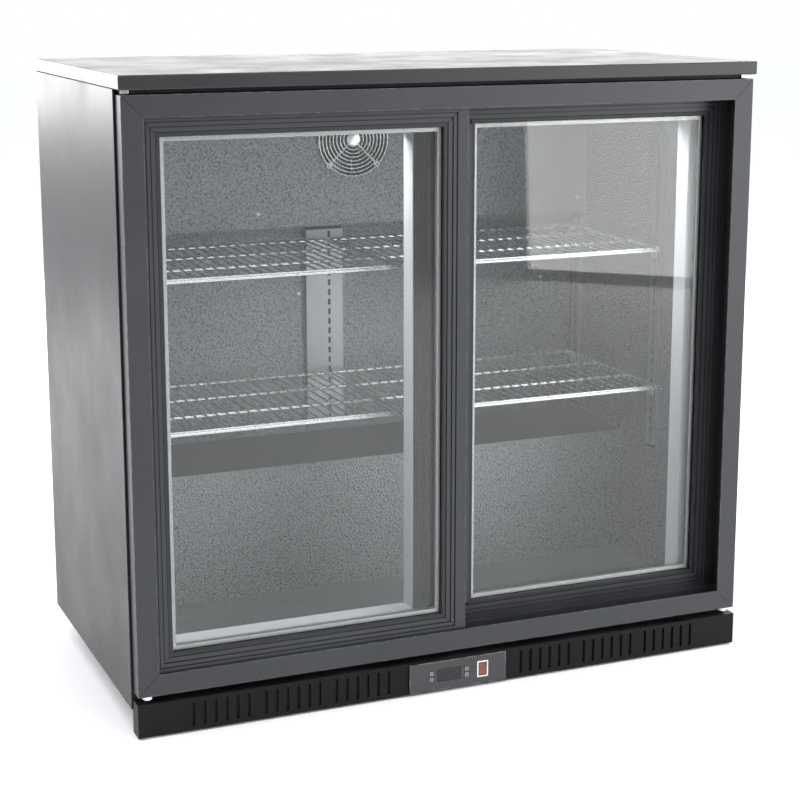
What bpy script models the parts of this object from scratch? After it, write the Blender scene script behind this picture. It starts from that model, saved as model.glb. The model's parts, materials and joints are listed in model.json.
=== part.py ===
"""Two-door undercounter back-bar refrigerator with sliding glass doors.

Metres, +Z up, front faces -Y. The origin is on the floor under the middle of the cabinet.
Every x is measured from the middle, every "depth" from the worktop's front edge backwards.
"""

from math import cos, pi, radians, sin

import bmesh
import bpy
from mathutils import Matrix, Vector

# Overall size
WIDTH = 0.900
DEPTH = 0.470
HEIGHT = 0.850
GAP = 0.0003  # clearance between two pieces that touch

# Worktop and steel shell
WORKTOP_T = 0.018
WORKTOP_EDGE_R = 0.0015
SHEET = 0.0012
SHELL_BOTTOM = 0.034
SHELL_SETBACK = 0.030
HEM = 0.008
REAR_RETURN = 0.014
BACK_PANEL_INSET = 0.006

# Sliding-door frame: four mitred extrusions with two channels
FRAME_SHADOW = 0.006  # dark gap under the worktop
FRAME_SETBACK = 0.004
FRAME_SIDE_INSET = 0.003
FRAME_BOTTOM = 0.058
FRAME_FACE = 0.028
FRAME_WALL = 0.003
CHANNEL = 0.030
CHANNEL_FLOOR = 0.014
SILL_FLOOR = 0.008
RIB_SHORT = 0.003
RAIL_W = 0.003
RAIL_H = 0.004

# Doors
DOOR_THICK = 0.026
DOOR_OVERLAP = 0.032
DOOR_EDGE_CLEAR = 0.0015
DOOR_TOP_CLEAR = 0.004
DOOR_BOTTOM_LIFT = 0.018
STILE = 0.034
MEETING_STILE = 0.058
LIP_T = 0.0025
GLASS_POCKET = 0.004
PANE = 0.004
SPACER = 0.005
PILE_W = 0.006
PILE_INSET = 0.015  # clears the jamb's rib when the door is fully open

# Door rollers
ROLLER_R = 0.009
ROLLER_FLANGE_R = 0.011
ROLLER_TREAD = 0.004
ROLLER_W = 0.008
ROLLER_AXLE_R = 0.0025
ROLLER_INSET = 0.070

# Cold space
WALL_THICKNESS = 0.052
CAVITY_FLOOR = 0.082
CAVITY_TOP = 0.790
CAVITY_REAR = 0.437
HUMP_FRONT = 0.262
HUMP_TOP = 0.272
LINER_T = 0.0012
INSULATION_WALL = 0.035

# Throat between the frame and the liner
THROAT_SIDE = 0.062
TRIM_EDGE = 0.022
THROAT_BOTTOM = 0.100
THROAT_TOP = 0.782
THROAT_LAP = 0.040
THROAT_SLEEVE = 0.030
TRIM_T = 0.003
MULLION_W = 0.074
MULLION_STRIP_W = 0.024
MULLION_STRIP_D = 0.008
SEAL_T = 0.0028
SEAL_RIBS = 5

# Shelves and their supports
SHELF_LEVELS = {"lower": 0.372, "upper": 0.578}
SHELF_FRONT = 0.128
SHELF_REAR = 0.420
SHELF_SPLIT_X = -0.030
SHELF_SPLIT_GAP = 0.005
SHELF_WIRE = 0.003
SHELF_BAR = 0.005
SHELF_WIRE_PITCH = 0.0155
SHELF_BARS = 3
SHELF_END_CLEAR = 0.001
PILASTER_W = 0.024
PILASTER_PROUD = 0.007
PILASTER_T = 0.0015
PILASTER_FRONT = 0.150
PILASTER_REAR = 0.395
REAR_PILASTER_W = 0.060

# Evaporator
COVER_FRONT = 0.385
COVER_BOTTOM = 0.600
COVER_LEDGE = 0.034
FAN_Z = 0.727
FAN_HOLE_R = 0.056
FAN_SQUARE = 0.120
FAN_THICK = 0.025
GUARD_RINGS = 6
GUARD_R = 0.0555
GUARD_WIRE = 0.0022

# Condensing unit
COMPRESSOR_X = 0.215
COMPRESSOR_R = 0.068
COMPRESSOR_H = 0.150
CONDENSER_X = -0.330
CONDENSER_T = 0.070
CONDENSER_FAN_R = 0.062

# Cable gland in the rear grille
GLAND_X = -0.385
GLAND_Z = 0.075
GLAND_R = 0.009
GLAND_HOLE_R = 0.0065
CABLE_R = 0.0036

# Plinth, grille and controls
GRILLE_BOTTOM = 0.003
GRILLE_TOP = 0.048
GRILLE_INSET = 0.0015
GRILLE_T = 0.002
GRILLE_SHELF = 0.016
SLOT_W = 0.0042
SLOT_H = 0.033
SLOT_PITCH = 0.0151
SLOTS_PER_GROUP = 6
GROUP_PITCH = 0.0995
FIRST_GROUP_X = 0.1378
PANEL_X = 0.0025
PANEL_W = 0.145
PANEL_H = 0.041
PANEL_FACE = 0.001
PANEL_BOX_MARGIN = 0.008
PANEL_BOX_DEPTH = 0.020
DISPLAY_SIZE = (0.036, 0.018)
DISPLAY_X = -0.014
DISPLAY_T = 0.0018
BUTTON = 0.0052
BUTTON_CLEAR = 0.0004
BUTTON_COLUMNS = {"left": -0.0405, "right": 0.0125}
BUTTON_ROWS = {"upper": 0.0042, "lower": -0.0042}
BUTTON_PROUD = 0.0008
BUTTON_DEPTH = 0.004
BUTTON_TRAVEL = 0.001
ROCKER_X = 0.037
ROCKER_W = 0.0125
ROCKER_HALF_H = 0.0092
ROCKER_TILT = radians(7)
ROCKER_PIVOT = 0.0062

# Feet
FOOT_R = 0.019
FOOT_PAD_H = 0.009
FOOT_STUD_R = 0.005
FOOT_INSET_X = 0.060
FOOT_INSET_FRONT = 0.075
FOOT_INSET_REAR = 0.060

# Worked out from the values above
HALF_W = WIDTH / 2
FRONT = -DEPTH / 2
WORKTOP_BOTTOM = HEIGHT - WORKTOP_T
FRAME_HALF_W = HALF_W - FRAME_SIDE_INSET
CAVITY_HALF_W = HALF_W - WALL_THICKNESS
THROAT_HALF_W = HALF_W - THROAT_SIDE
FRAME_TOP = WORKTOP_BOTTOM - FRAME_SHADOW
FRAME_DEPTH = 3 * FRAME_WALL + 2 * CHANNEL
TRACKS = {
    "left": FRAME_SETBACK + FRAME_WALL + CHANNEL / 2,
    "right": FRAME_SETBACK + 2 * FRAME_WALL + 1.5 * CHANNEL,
}
DOOR_REACH = FRAME_HALF_W - CHANNEL_FLOOR - DOOR_EDGE_CLEAR
DOOR_WIDTH = DOOR_REACH + DOOR_OVERLAP / 2
DOOR_BOTTOM = FRAME_BOTTOM + DOOR_BOTTOM_LIFT
DOOR_TOP = FRAME_TOP - CHANNEL_FLOOR - DOOR_TOP_CLEAR
THROAT_FRONT = FRAME_SETBACK + FRAME_DEPTH + GAP
CAVITY_FRONT = THROAT_FRONT + TRIM_T + GAP
BACK_PANEL = DEPTH - BACK_PANEL_INSET - SHEET
COMPARTMENT_FRONT = HUMP_FRONT + INSULATION_WALL
COMPARTMENT_TOP = HUMP_TOP - INSULATION_WALL
BASE_TOP = SHELL_BOTTOM + SHEET
INNER_HALF_W = HALF_W - SHEET - GAP
PANEL_Z = (GRILLE_BOTTOM + GRILLE_TOP) / 2
ROLLER_Z = FRAME_BOTTOM + SILL_FLOOR + RAIL_H + GAP + ROLLER_R


def back(depth):
    """World y of a point this far behind the worktop's front edge."""
    return FRONT + depth


def finish(name, colour, roughness, metallic=0.0, alpha=1.0):
    """A plain Principled finish."""
    material = bpy.data.materials.new(name)
    material.use_nodes = True
    shader = material.node_tree.nodes["Principled BSDF"]
    shader.inputs["Base Color"].default_value = (*colour, 1.0)
    shader.inputs["Roughness"].default_value = roughness
    shader.inputs["Metallic"].default_value = metallic
    shader.inputs["Alpha"].default_value = alpha
    return material


def add_box(bm, x, depth, z):
    """Adds a closed box between the given pairs of x, depth and height."""
    made = bmesh.ops.create_cube(bm, size=1.0)["verts"]
    low = Vector((x[0], back(depth[0]), z[0]))
    high = Vector((x[1], back(depth[1]), z[1]))
    for vertex in made:
        vertex.co = [
            low[i] if vertex.co[i] < 0 else high[i] for i in range(3)
        ]
    return made


def add_prism(bm, start, end):
    """Adds a closed solid between two matching outlines of 3-D points."""
    first = [bm.verts.new(point) for point in start]
    last = [bm.verts.new(point) for point in end]
    bm.faces.new(first)
    bm.faces.new(reversed(last))
    for i in range(len(first)):
        j = (i + 1) % len(first)
        bm.faces.new((first[j], first[i], last[i], last[j]))


def add_turned(bm, profile, centre, axis, segments):
    """Adds a round solid turned from (radius, height) points about an axis through centre."""
    turn = Vector((0, 0, 1)).rotation_difference(Vector(axis)).to_matrix()
    rings = []
    for radius, height in profile:
        if radius == 0:
            ring = [bm.verts.new(Vector(centre) + turn @ Vector((0, 0, height)))]
        else:
            ring = []
            for k in range(segments):
                angle = 2 * pi * k / segments
                point = Vector((radius * cos(angle), radius * sin(angle), height))
                ring.append(bm.verts.new(Vector(centre) + turn @ point))
        rings.append(ring)
    for lower, upper in zip(rings, rings[1:]):
        for k in range(segments):
            n = (k + 1) % segments
            if len(lower) == 1:
                bm.faces.new((lower[0], upper[n], upper[k]))
            elif len(upper) == 1:
                bm.faces.new((lower[k], lower[n], upper[0]))
            else:
                bm.faces.new((lower[k], lower[n], upper[n], upper[k]))


def to_object(name, bm, origin):
    """Makes a mesh object whose origin sits at the given point."""
    bmesh.ops.recalc_face_normals(bm, faces=bm.faces)
    mesh = bpy.data.meshes.new(name)
    bm.to_mesh(mesh)
    bm.free()
    mesh.transform(Matrix.Translation(-Vector(origin)))
    made = bpy.data.objects.new(name, mesh)
    made.location = origin
    bpy.context.collection.objects.link(made)
    return made


def piece(name, bm, material, origin=(0, 0, 0), smooth=False):
    """One sub-part of the refrigerator."""
    made = to_object(name, bm, origin)
    made.data.materials.append(material)
    if smooth:
        made.data.shade_smooth()
        made.data.set_sharp_from_angle(angle=radians(40))
    return made


def boolean(target, bm, operation="DIFFERENCE"):
    """Cuts a shape out of a piece, or joins it on."""
    tool = to_object(f"{target.name}_tool", bm, (0, 0, 0))
    tool.hide_render = True
    tool.display_type = "WIRE"
    step = target.modifiers.new(operation.lower(), "BOOLEAN")
    step.operation = operation
    step.object = tool


def round_edges(target, width, segments=2):
    """Rounds a piece's sharp edges."""
    step = target.modifiers.new("edge_radius", "BEVEL")
    step.width = width
    step.segments = segments
    step.limit_method = "ANGLE"
    step.angle_limit = radians(50)


def extrusion(name, outline, side, rectangle, front, material, ends=("mitre", "mitre")):
    """A profile along one side of an upright rectangle (x0, x1, z0, z1).

    The outline's points are (inward distance, depth). A mitred end follows the 45 degree
    diagonal, a square end stops at the rectangle, and a number trims the end by that much.
    """
    x0, x1, z0, z1 = rectangle
    upright = side in ("left", "right")
    low, high = (z0, z1) if upright else (x0, x1)

    def end_shift(kind, inward):
        if kind == "mitre":
            return inward + GAP
        return 0.0 if kind == "square" else kind

    outlines = []
    for base, direction, kind in ((low, 1, ends[0]), (high, -1, ends[1])):
        points = []
        for inward, deep in outline:
            along = base + direction * end_shift(kind, inward)
            y = back(front + deep)
            if upright:
                x = x0 + inward if side == "left" else x1 - inward
                points.append((x, y, along))
            else:
                z = z0 + inward if side == "bottom" else z1 - inward
                points.append((along, y, z))
        outlines.append(points)
    bm = bmesh.new()
    add_prism(bm, *outlines)
    return piece(name, bm, material)


def channel_outline(floor, rail=False):
    """Cross-section of a frame extrusion: face lip, two door channels and a rear lip."""
    wall = FRAME_WALL
    rib = wall + CHANNEL
    rear = 2 * rib
    rib_tip = FRAME_FACE - RIB_SHORT
    points = [(0, 0), (FRAME_FACE, 0), (FRAME_FACE, wall), (floor, wall)]
    for channel_start in (wall, rib + wall):
        if rail:
            middle = channel_start + CHANNEL / 2
            for sign, top in ((-1, 0), (-1, RAIL_H), (1, RAIL_H), (1, 0)):
                points.append((floor + top, middle + sign * RAIL_W / 2))
        if channel_start == wall:
            points += [(floor, rib), (rib_tip, rib), (rib_tip, rib + wall), (floor, rib + wall)]
    points += [(floor, rear), (FRAME_FACE, rear), (FRAME_FACE, rear + wall)]
    if rail:
        points += [(0, rear + wall), (0, rear), (floor - wall, rear), (floor - wall, wall)]
        points += [(0, wall)]
    else:
        points += [(floor - wall, rear + wall), (floor - wall, wall), (wall, wall)]
        points += [(wall, rear + wall), (0, rear + wall)]
    return points


def door_outline(width, stepped):
    """Cross-section of a door rail or stile, open towards the door's outer edge."""
    pocket = width - GLASS_POCKET
    glass_front = LIP_T + 0.0045
    glass_rear = DOOR_THICK - 0.003
    points = [(0, 0)]
    if stepped:
        points += [(0.015, 0), (0.015, 0.0025), (0.0165, 0.0025), (0.0165, 0.001)]
        points += [(0.021, 0.001), (0.021, 0.0035), (0.0225, 0.0035), (0.0225, 0.002)]
        points += [(0.028, 0.002), (0.028, 0.0045)]
    else:
        points += [(width - 0.006, 0), (width - 0.006, 0.0045)]
    points += [(width, 0.0045), (width, glass_front), (pocket, glass_front)]
    points += [(pocket, glass_rear), (width, glass_rear), (width, DOOR_THICK), (0, DOOR_THICK)]
    web = pocket - 0.003
    points += [(0, glass_rear), (web, glass_rear), (web, glass_front), (0.012, glass_front)]
    points += [(0.012, 0.003), (0, 0.003)]
    return points


def worktop(paint):
    """Folded steel lid, flush with the side panels and open underneath."""
    bm = bmesh.new()
    add_box(bm, (-HALF_W, HALF_W), (0, DEPTH), (WORKTOP_BOTTOM, HEIGHT))
    made = piece("worktop", bm, paint)
    round_edges(made, WORKTOP_EDGE_R)
    hollow = bmesh.new()
    wall = 2 * SHEET
    add_box(
        hollow,
        (-HALF_W + wall, HALF_W - wall),
        (wall, DEPTH - wall),
        (WORKTOP_BOTTOM - 0.02, HEIGHT - SHEET),
    )
    boolean(made, hollow)


def side_panel(name, side, paint):
    """Folded sheet: outer wall, a hem at the front and a return at the back."""
    outer = side * HALF_W
    inner = outer - side * SHEET
    rear = DEPTH - GAP
    outline = [
        (outer, SHELL_SETBACK),
        (outer, rear),
        (outer - side * REAR_RETURN, rear),
        (outer - side * REAR_RETURN, rear - SHEET),
        (inner, rear - SHEET),
        (inner, SHELL_SETBACK + HEM),
        (inner - side * SHEET, SHELL_SETBACK + HEM),
        (inner - side * SHEET, SHELL_SETBACK),
    ]
    bm = bmesh.new()
    ends = [
        [(x, back(depth), z) for x, depth in outline]
        for z in (SHELL_BOTTOM, WORKTOP_BOTTOM - GAP)
    ]
    add_prism(bm, *ends)
    piece(name, bm, paint)


def back_panel(paint):
    """Flat sheet behind the insulation, above the machine compartment."""
    bm = bmesh.new()
    half = INNER_HALF_W - SHEET
    add_box(
        bm,
        (-half, half),
        (BACK_PANEL, BACK_PANEL + SHEET),
        (COMPARTMENT_TOP + GAP, WORKTOP_BOTTOM - GAP),
    )
    piece("back_panel", bm, paint)


def rear_grille(paint):
    """Removable louvred sheet over the machine compartment, with a hole for the cable gland."""
    bm = bmesh.new()
    half = INNER_HALF_W - 2 * SHEET - GAP
    low = BASE_TOP + 2 * GAP
    high = COMPARTMENT_TOP - GAP
    add_box(bm, (-half, half), (BACK_PANEL, BACK_PANEL + SHEET), (low, high))
    made = piece("rear_grille", bm, paint)
    cuts = bmesh.new()
    rows = 6
    for side in (-1, 1):
        for row in range(rows):
            z = low + (high - low) * (row + 1.5) / (rows + 2)
            x = sorted((side * 0.045, side * 0.340))
            add_box(cuts, x, (BACK_PANEL - SHEET, BACK_PANEL + 2 * SHEET), (z, z + 0.006))
    add_turned(
        cuts,
        [(0, -0.01), (GLAND_HOLE_R, -0.01), (GLAND_HOLE_R, 0.01), (0, 0.01)],
        (GLAND_X, back(BACK_PANEL), GLAND_Z),
        (0, 1, 0),
        16,
    )
    boolean(made, cuts)


def cable_gland(plastic):
    """Gland in the rear grille that the supply lead would leave through."""
    bm = bmesh.new()
    neck = GLAND_HOLE_R - GAP
    out = BACK_PANEL_INSET - GAP
    profile = [
        (CABLE_R, -0.009),
        (GLAND_R, -0.009),
        (GLAND_R, -SHEET - GAP),
        (neck, -SHEET - GAP),
        (neck, GAP),
        (GLAND_R, GAP),
        (GLAND_R, 0.004),
        (GLAND_R - 0.003, out),
        (CABLE_R, out),
        (CABLE_R, -0.009),
    ]
    add_turned(bm, profile, (GLAND_X, back(BACK_PANEL + SHEET), GLAND_Z), (0, 1, 0), 16)
    bmesh.ops.remove_doubles(bm, verts=bm.verts, dist=1e-6)
    piece("cable_gland", bm, plastic, smooth=True)


def liner_outline(grow, front):
    """Side view of the cold space: a box with a step over the machine compartment."""
    return [
        (front, CAVITY_FLOOR - grow),
        (front, CAVITY_TOP + grow),
        (CAVITY_REAR + grow, CAVITY_TOP + grow),
        (CAVITY_REAR + grow, HUMP_TOP - grow),
        (HUMP_FRONT + grow, HUMP_TOP - grow),
        (HUMP_FRONT + grow, CAVITY_FLOOR - grow),
    ]


def add_liner_shape(bm, grow, front):
    """Adds the cold space grown by a wall thickness, as a solid."""
    half = CAVITY_HALF_W + grow
    outline = liner_outline(grow, front)
    add_prism(bm, *[[(x, back(d), z) for d, z in outline] for x in (-half, half)])


def inner_liner(aluminium):
    """Embossed aluminium liner, open at the front."""
    bm = bmesh.new()
    add_liner_shape(bm, LINER_T, CAVITY_FRONT)
    made = piece("inner_liner", bm, aluminium)
    hollow = bmesh.new()
    add_liner_shape(hollow, 0.0, CAVITY_FRONT - 0.05)
    boolean(made, hollow)


def insulation_body(foam):
    """Foam between the shell and the liner, with the machine compartment left out."""
    bm = bmesh.new()
    half = INNER_HALF_W - 2 * SHEET - 2 * GAP
    rear = BACK_PANEL - GAP
    outline = [
        (CAVITY_FRONT, BASE_TOP + GAP),
        (CAVITY_FRONT, WORKTOP_BOTTOM - GAP),
        (rear, WORKTOP_BOTTOM - GAP),
        (rear, COMPARTMENT_TOP),
        (COMPARTMENT_FRONT, COMPARTMENT_TOP),
        (COMPARTMENT_FRONT, BASE_TOP + GAP),
    ]
    add_prism(bm, *[[(x, back(d), z) for d, z in outline] for x in (-half, half)])
    made = piece("insulation_body", bm, foam)
    hollow = bmesh.new()
    add_liner_shape(hollow, LINER_T + GAP, CAVITY_FRONT - 0.05)
    boolean(made, hollow)


def base_pan(paint):
    """Folded tray that carries the cabinet; its front flange closes the recess under the sill."""
    half = INNER_HALF_W - SHEET
    front = SHELL_SETBACK
    rear = BACK_PANEL + SHEET
    flange_top = FRAME_BOTTOM - GAP
    bm = bmesh.new()
    add_box(bm, (-half, half), (front, rear), (SHELL_BOTTOM, flange_top))
    made = piece("base_pan", bm, paint)
    cuts = bmesh.new()
    inner = half - SHEET
    add_box(cuts, (-inner, inner), (front + SHEET, rear + 0.02), (BASE_TOP, flange_top + 0.02))
    boolean(made, cuts)
    trims = bmesh.new()
    for x in ((-half - 0.01, -inner + GAP), (inner - GAP, half + 0.01)):
        add_box(trims, x, (front + HEM, rear + 0.02), (BASE_TOP + 0.010, flange_top + 0.02))
    boolean(made, trims)


def foot(name, x, depth, plastic):
    """Screw-in levelling foot: a round pad on a stud."""
    bm = bmesh.new()
    top = SHELL_BOTTOM - GAP
    profile = [
        (0, 0),
        (FOOT_R - 0.002, 0),
        (FOOT_R, 0.002),
        (FOOT_R, FOOT_PAD_H - 0.002),
        (FOOT_R - 0.004, FOOT_PAD_H),
        (FOOT_STUD_R, FOOT_PAD_H),
        (FOOT_STUD_R, top),
        (0, top),
    ]
    add_turned(bm, profile, (x, back(depth), 0), (0, 0, 1), 16)
    piece(name, bm, plastic, smooth=True)


def throat_trim(plastic):
    """Pale moulded trim round the door opening, with a sleeve that reaches into the liner."""
    front = THROAT_FRONT
    bm = bmesh.new()
    outer = HALF_W - TRIM_EDGE
    add_box(
        bm,
        (-outer, outer),
        (front, front + TRIM_T),
        (THROAT_BOTTOM - THROAT_LAP * 0.8, THROAT_TOP + THROAT_LAP * 0.9),
    )
    made = piece("throat_trim", bm, plastic)
    sleeve = bmesh.new()
    half = THROAT_HALF_W + TRIM_T
    add_box(
        sleeve,
        (-half, half),
        (front + TRIM_T / 2, front + THROAT_SLEEVE),
        (THROAT_BOTTOM - TRIM_T, THROAT_TOP + TRIM_T),
    )
    boolean(made, sleeve, "UNION")
    hole = bmesh.new()
    add_box(
        hole,
        (-THROAT_HALF_W, THROAT_HALF_W),
        (front - 0.02, front + THROAT_SLEEVE + 0.02),
        (THROAT_BOTTOM, THROAT_TOP),
    )
    boolean(made, hole)


def centre_mullion(plastic):
    """Post between the two door openings, with a shelf strip on its back."""
    half = MULLION_W / 2
    strip = MULLION_STRIP_W / 2
    front = THROAT_FRONT
    rear = front + THROAT_SLEEVE
    outline = [
        (-half, front),
        (half, front),
        (half, rear),
        (strip, rear),
        (strip, rear + MULLION_STRIP_D),
        (-strip, rear + MULLION_STRIP_D),
        (-strip, rear),
        (-half, rear),
    ]
    bm = bmesh.new()
    levels = (THROAT_BOTTOM + GAP, THROAT_TOP - GAP)
    add_prism(bm, *[[(x, back(d), z) for x, d in outline] for z in levels])
    piece("centre_mullion", bm, plastic)


def mullion_seal(rubber):
    """Ribbed seal strip on the mullion's front, which the rear door closes against."""
    half = MULLION_W / 2 - 0.001
    rear = THROAT_FRONT - GAP
    rib_field = 0.022
    pitch = rib_field / SEAL_RIBS
    low = rear - SEAL_T * 0.4
    high = rear - SEAL_T
    outline = [(-half, rear), (-half, low)]
    for side in (-1, 1):
        start = -half if side < 0 else half - rib_field
        if side > 0:
            outline.append((start, low))
        for k in range(SEAL_RIBS):
            left = start + (k + 0.25) * pitch
            right = start + (k + 0.75) * pitch
            outline += [(left, low), (left, high), (right, high), (right, low)]
    outline += [(half, low), (half, rear)]
    bm = bmesh.new()
    levels = (THROAT_BOTTOM + 0.004, THROAT_TOP - 0.004)
    add_prism(bm, *[[(x, back(d), z) for x, d in outline] for z in levels])
    piece("mullion_seal", bm, rubber)


def sliding_frame(paint):
    """Head, sill and two jambs of the sliding-door frame."""
    rectangle = (-FRAME_HALF_W, FRAME_HALF_W, FRAME_BOTTOM, FRAME_TOP)
    for name, side in (
        ("frame_head", "top"),
        ("frame_sill", "bottom"),
        ("frame_jamb_left", "left"),
        ("frame_jamb_right", "right"),
    ):
        outline = channel_outline(SILL_FLOOR, rail=True) if side == "bottom" else (
            channel_outline(CHANNEL_FLOOR)
        )
        extrusion(name, outline, side, rectangle, FRAME_SETBACK, paint)


def door_span(side):
    """The x range of a closed door."""
    if side == "left":
        return -DOOR_REACH, -DOOR_REACH + DOOR_WIDTH
    return DOOR_REACH - DOOR_WIDTH, DOOR_REACH


def door_frame(side, paint):
    """Two rails and two stiles round one double-glazed unit."""
    x0, x1 = door_span(side)
    rectangle = (x0, x1, DOOR_BOTTOM, DOOR_TOP)
    front = TRACKS[side] - DOOR_THICK / 2
    stepped = door_outline(STILE, True)
    outer = "left" if side == "left" else "right"
    meeting = "right" if side == "left" else "left"
    rail_ends = ("mitre", "mitre") if side == "left" else ("square", "mitre")
    for name, edge in (("top_rail", "top"), ("bottom_rail", "bottom")):
        extrusion(
            f"{side}_door_{name}", stepped, edge, rectangle, front, paint, rail_ends
        )
    extrusion(f"{side}_door_outer_stile", stepped, outer, rectangle, front, paint)
    if side == "left":
        extrusion(f"{side}_door_meeting_stile", stepped, meeting, rectangle, front, paint)
    else:
        butt = (STILE + GAP, STILE + GAP)
        wide = door_outline(MEETING_STILE, False)
        extrusion(
            f"{side}_door_meeting_stile", wide, meeting, rectangle, front, paint, butt
        )


def door_glass(side, glass):
    """Sealed double-glazed unit: two panes joined by a spacer, with its gas filling hole."""
    x0, x1 = door_span(side)
    seat = STILE - GLASS_POCKET + GAP
    wide_seat = MEETING_STILE - GLASS_POCKET + GAP
    low_x = x0 + (seat if side == "left" else wide_seat)
    high_x = x1 - seat
    low_z = DOOR_BOTTOM + seat
    high_z = DOOR_TOP - seat
    front = TRACKS[side] - DOOR_THICK / 2 + LIP_T + 0.0045 + GAP
    rear = TRACKS[side] + DOOR_THICK / 2 - 0.003 - GAP
    bm = bmesh.new()
    add_box(bm, (low_x, high_x), (front, rear), (low_z, high_z))
    made = piece(f"{side}_door_glass", bm, glass)
    hollow = bmesh.new()
    add_box(
        hollow,
        (low_x + SPACER, high_x - SPACER),
        (front + PANE, rear - PANE),
        (low_z + SPACER, high_z - SPACER),
    )
    boolean(made, hollow)
    filling = bmesh.new()
    middle_x = (low_x + high_x) / 2
    middle = (front + rear) / 2
    add_box(
        filling,
        (middle_x - 0.0015, middle_x + 0.0015),
        (middle - 0.0015, middle + 0.0015),
        (high_z - SPACER - 0.004, high_z + 0.004),
    )
    boolean(made, filling)


def pile_seal(pile):
    """Pile strip on the back of the front door's meeting stile, sealing the overlap."""
    _, x1 = door_span("left")
    rear = TRACKS["left"] + DOOR_THICK / 2
    reach = TRACKS["right"] - DOOR_THICK / 2 - rear
    bm = bmesh.new()
    add_box(
        bm,
        (x1 - PILE_INSET - PILE_W, x1 - PILE_INSET),
        (rear + GAP, rear + reach - 2 * GAP),
        (DOOR_BOTTOM + STILE, DOOR_TOP - STILE),
    )
    piece("left_door_pile_seal", bm, pile)


def door_roller(name, side, x, nylon):
    """Flanged roller in the bottom rail, running on the sill's rail."""
    tread = ROLLER_TREAD / 2
    edge = ROLLER_W / 2
    axle = DOOR_THICK / 2 - 0.0045
    profile = [
        (0, -axle),
        (ROLLER_AXLE_R, -axle),
        (ROLLER_AXLE_R, -edge),
        (ROLLER_FLANGE_R, -edge),
        (ROLLER_FLANGE_R, -tread),
        (ROLLER_R, -tread),
        (ROLLER_R, tread),
        (ROLLER_FLANGE_R, tread),
        (ROLLER_FLANGE_R, edge),
        (ROLLER_AXLE_R, edge),
        (ROLLER_AXLE_R, axle),
        (0, axle),
    ]
    centre = (x, back(TRACKS[side]), ROLLER_Z)
    bm = bmesh.new()
    add_turned(bm, profile, centre, (0, 1, 0), 20)
    piece(name, bm, nylon, origin=centre, smooth=True)


def shelf(name, level, x0, x1, steel):
    """Welded wire shelf: thin wires front to back on top of three bars."""
    bars = bmesh.new()
    bar_top = level - SHELF_WIRE + 0.001
    inset = SHELF_BAR * 0.6
    first = SHELF_FRONT + inset
    last = SHELF_REAR - inset - SHELF_BAR
    for k in range(SHELF_BARS):
        depth = first + (last - first) * k / (SHELF_BARS - 1)
        add_box(bars, (x0, x1), (depth, depth + SHELF_BAR), (bar_top - SHELF_BAR, bar_top))
    made = piece(name, bars, steel)
    wires = bmesh.new()
    count = round((x1 - x0) / SHELF_WIRE_PITCH)
    pitch = (x1 - x0 - 0.012) / count
    for k in range(count + 1):
        x = x0 + 0.006 + k * pitch
        add_box(
            wires,
            (x - SHELF_WIRE / 2, x + SHELF_WIRE / 2),
            (SHELF_FRONT, SHELF_REAR),
            (level - SHELF_WIRE, level),
        )
    boolean(made, wires, "UNION")


def pilaster(name, outline, z0, z1, steel):
    """Folded strip that the shelf clips hook into."""
    bm = bmesh.new()
    add_prism(bm, *[[(x, back(d), z) for x, d in outline] for z in (z0, z1)])
    piece(name, bm, steel)


def shelf_supports(steel):
    """Two strips on each side wall and a double one on the rear wall."""
    for side_name, side in (("left", -1), ("right", 1)):
        wall = side * (CAVITY_HALF_W - GAP)
        face = wall - side * PILASTER_PROUD
        for place, depth, bottom, top in (
            ("front", PILASTER_FRONT, HUMP_TOP - 0.006, CAVITY_TOP - 0.015),
            ("rear", PILASTER_REAR, HUMP_TOP + 0.010, COVER_BOTTOM - 0.006),
        ):
            t = PILASTER_T
            outline = [
                (wall, depth),
                (face, depth),
                (face, depth + PILASTER_W),
                (wall, depth + PILASTER_W),
                (wall, depth + PILASTER_W - t),
                (face + side * t, depth + PILASTER_W - t),
                (face + side * t, depth + t),
                (wall, depth + t),
            ]
            pilaster(f"pilaster_{side_name}_{place}", outline, bottom, top, steel)
    rear = CAVITY_REAR - GAP
    face = rear - PILASTER_PROUD
    x0 = SHELF_SPLIT_X - REAR_PILASTER_W / 2
    x1 = SHELF_SPLIT_X + REAR_PILASTER_W / 2
    t = PILASTER_T
    outline = [
        (x0, rear),
        (x0, face),
        (x1, face),
        (x1, rear),
        (x1 - t, rear),
        (x1 - t, face + t),
        (x0 + t, face + t),
        (x0 + t, rear),
    ]
    pilaster(
        "pilaster_rear_centre", outline, HUMP_TOP + 0.010, COVER_BOTTOM - 0.006, steel
    )


def evaporator_cover(aluminium):
    """Folded cover over the evaporator, with a round hole for the fan."""
    half = CAVITY_HALF_W - 0.002
    top = CAVITY_TOP - 0.002
    outline = [
        (COVER_FRONT, COVER_BOTTOM),
        (COVER_FRONT, top),
        (COVER_FRONT + LINER_T, top),
        (COVER_FRONT + LINER_T, COVER_BOTTOM + LINER_T),
        (COVER_FRONT + COVER_LEDGE, COVER_BOTTOM + LINER_T),
        (COVER_FRONT + COVER_LEDGE, COVER_BOTTOM),
    ]
    bm = bmesh.new()
    add_prism(bm, *[[(x, back(d), z) for d, z in outline] for x in (-half, half)])
    made = piece("evaporator_cover", bm, aluminium)
    hole = bmesh.new()
    profile = [(0, -0.01), (FAN_HOLE_R, -0.01), (FAN_HOLE_R, 0.01), (0, 0.01)]
    add_turned(hole, profile, (0, back(COVER_FRONT), FAN_Z), (0, 1, 0), 32)
    boolean(made, hole)


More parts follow.
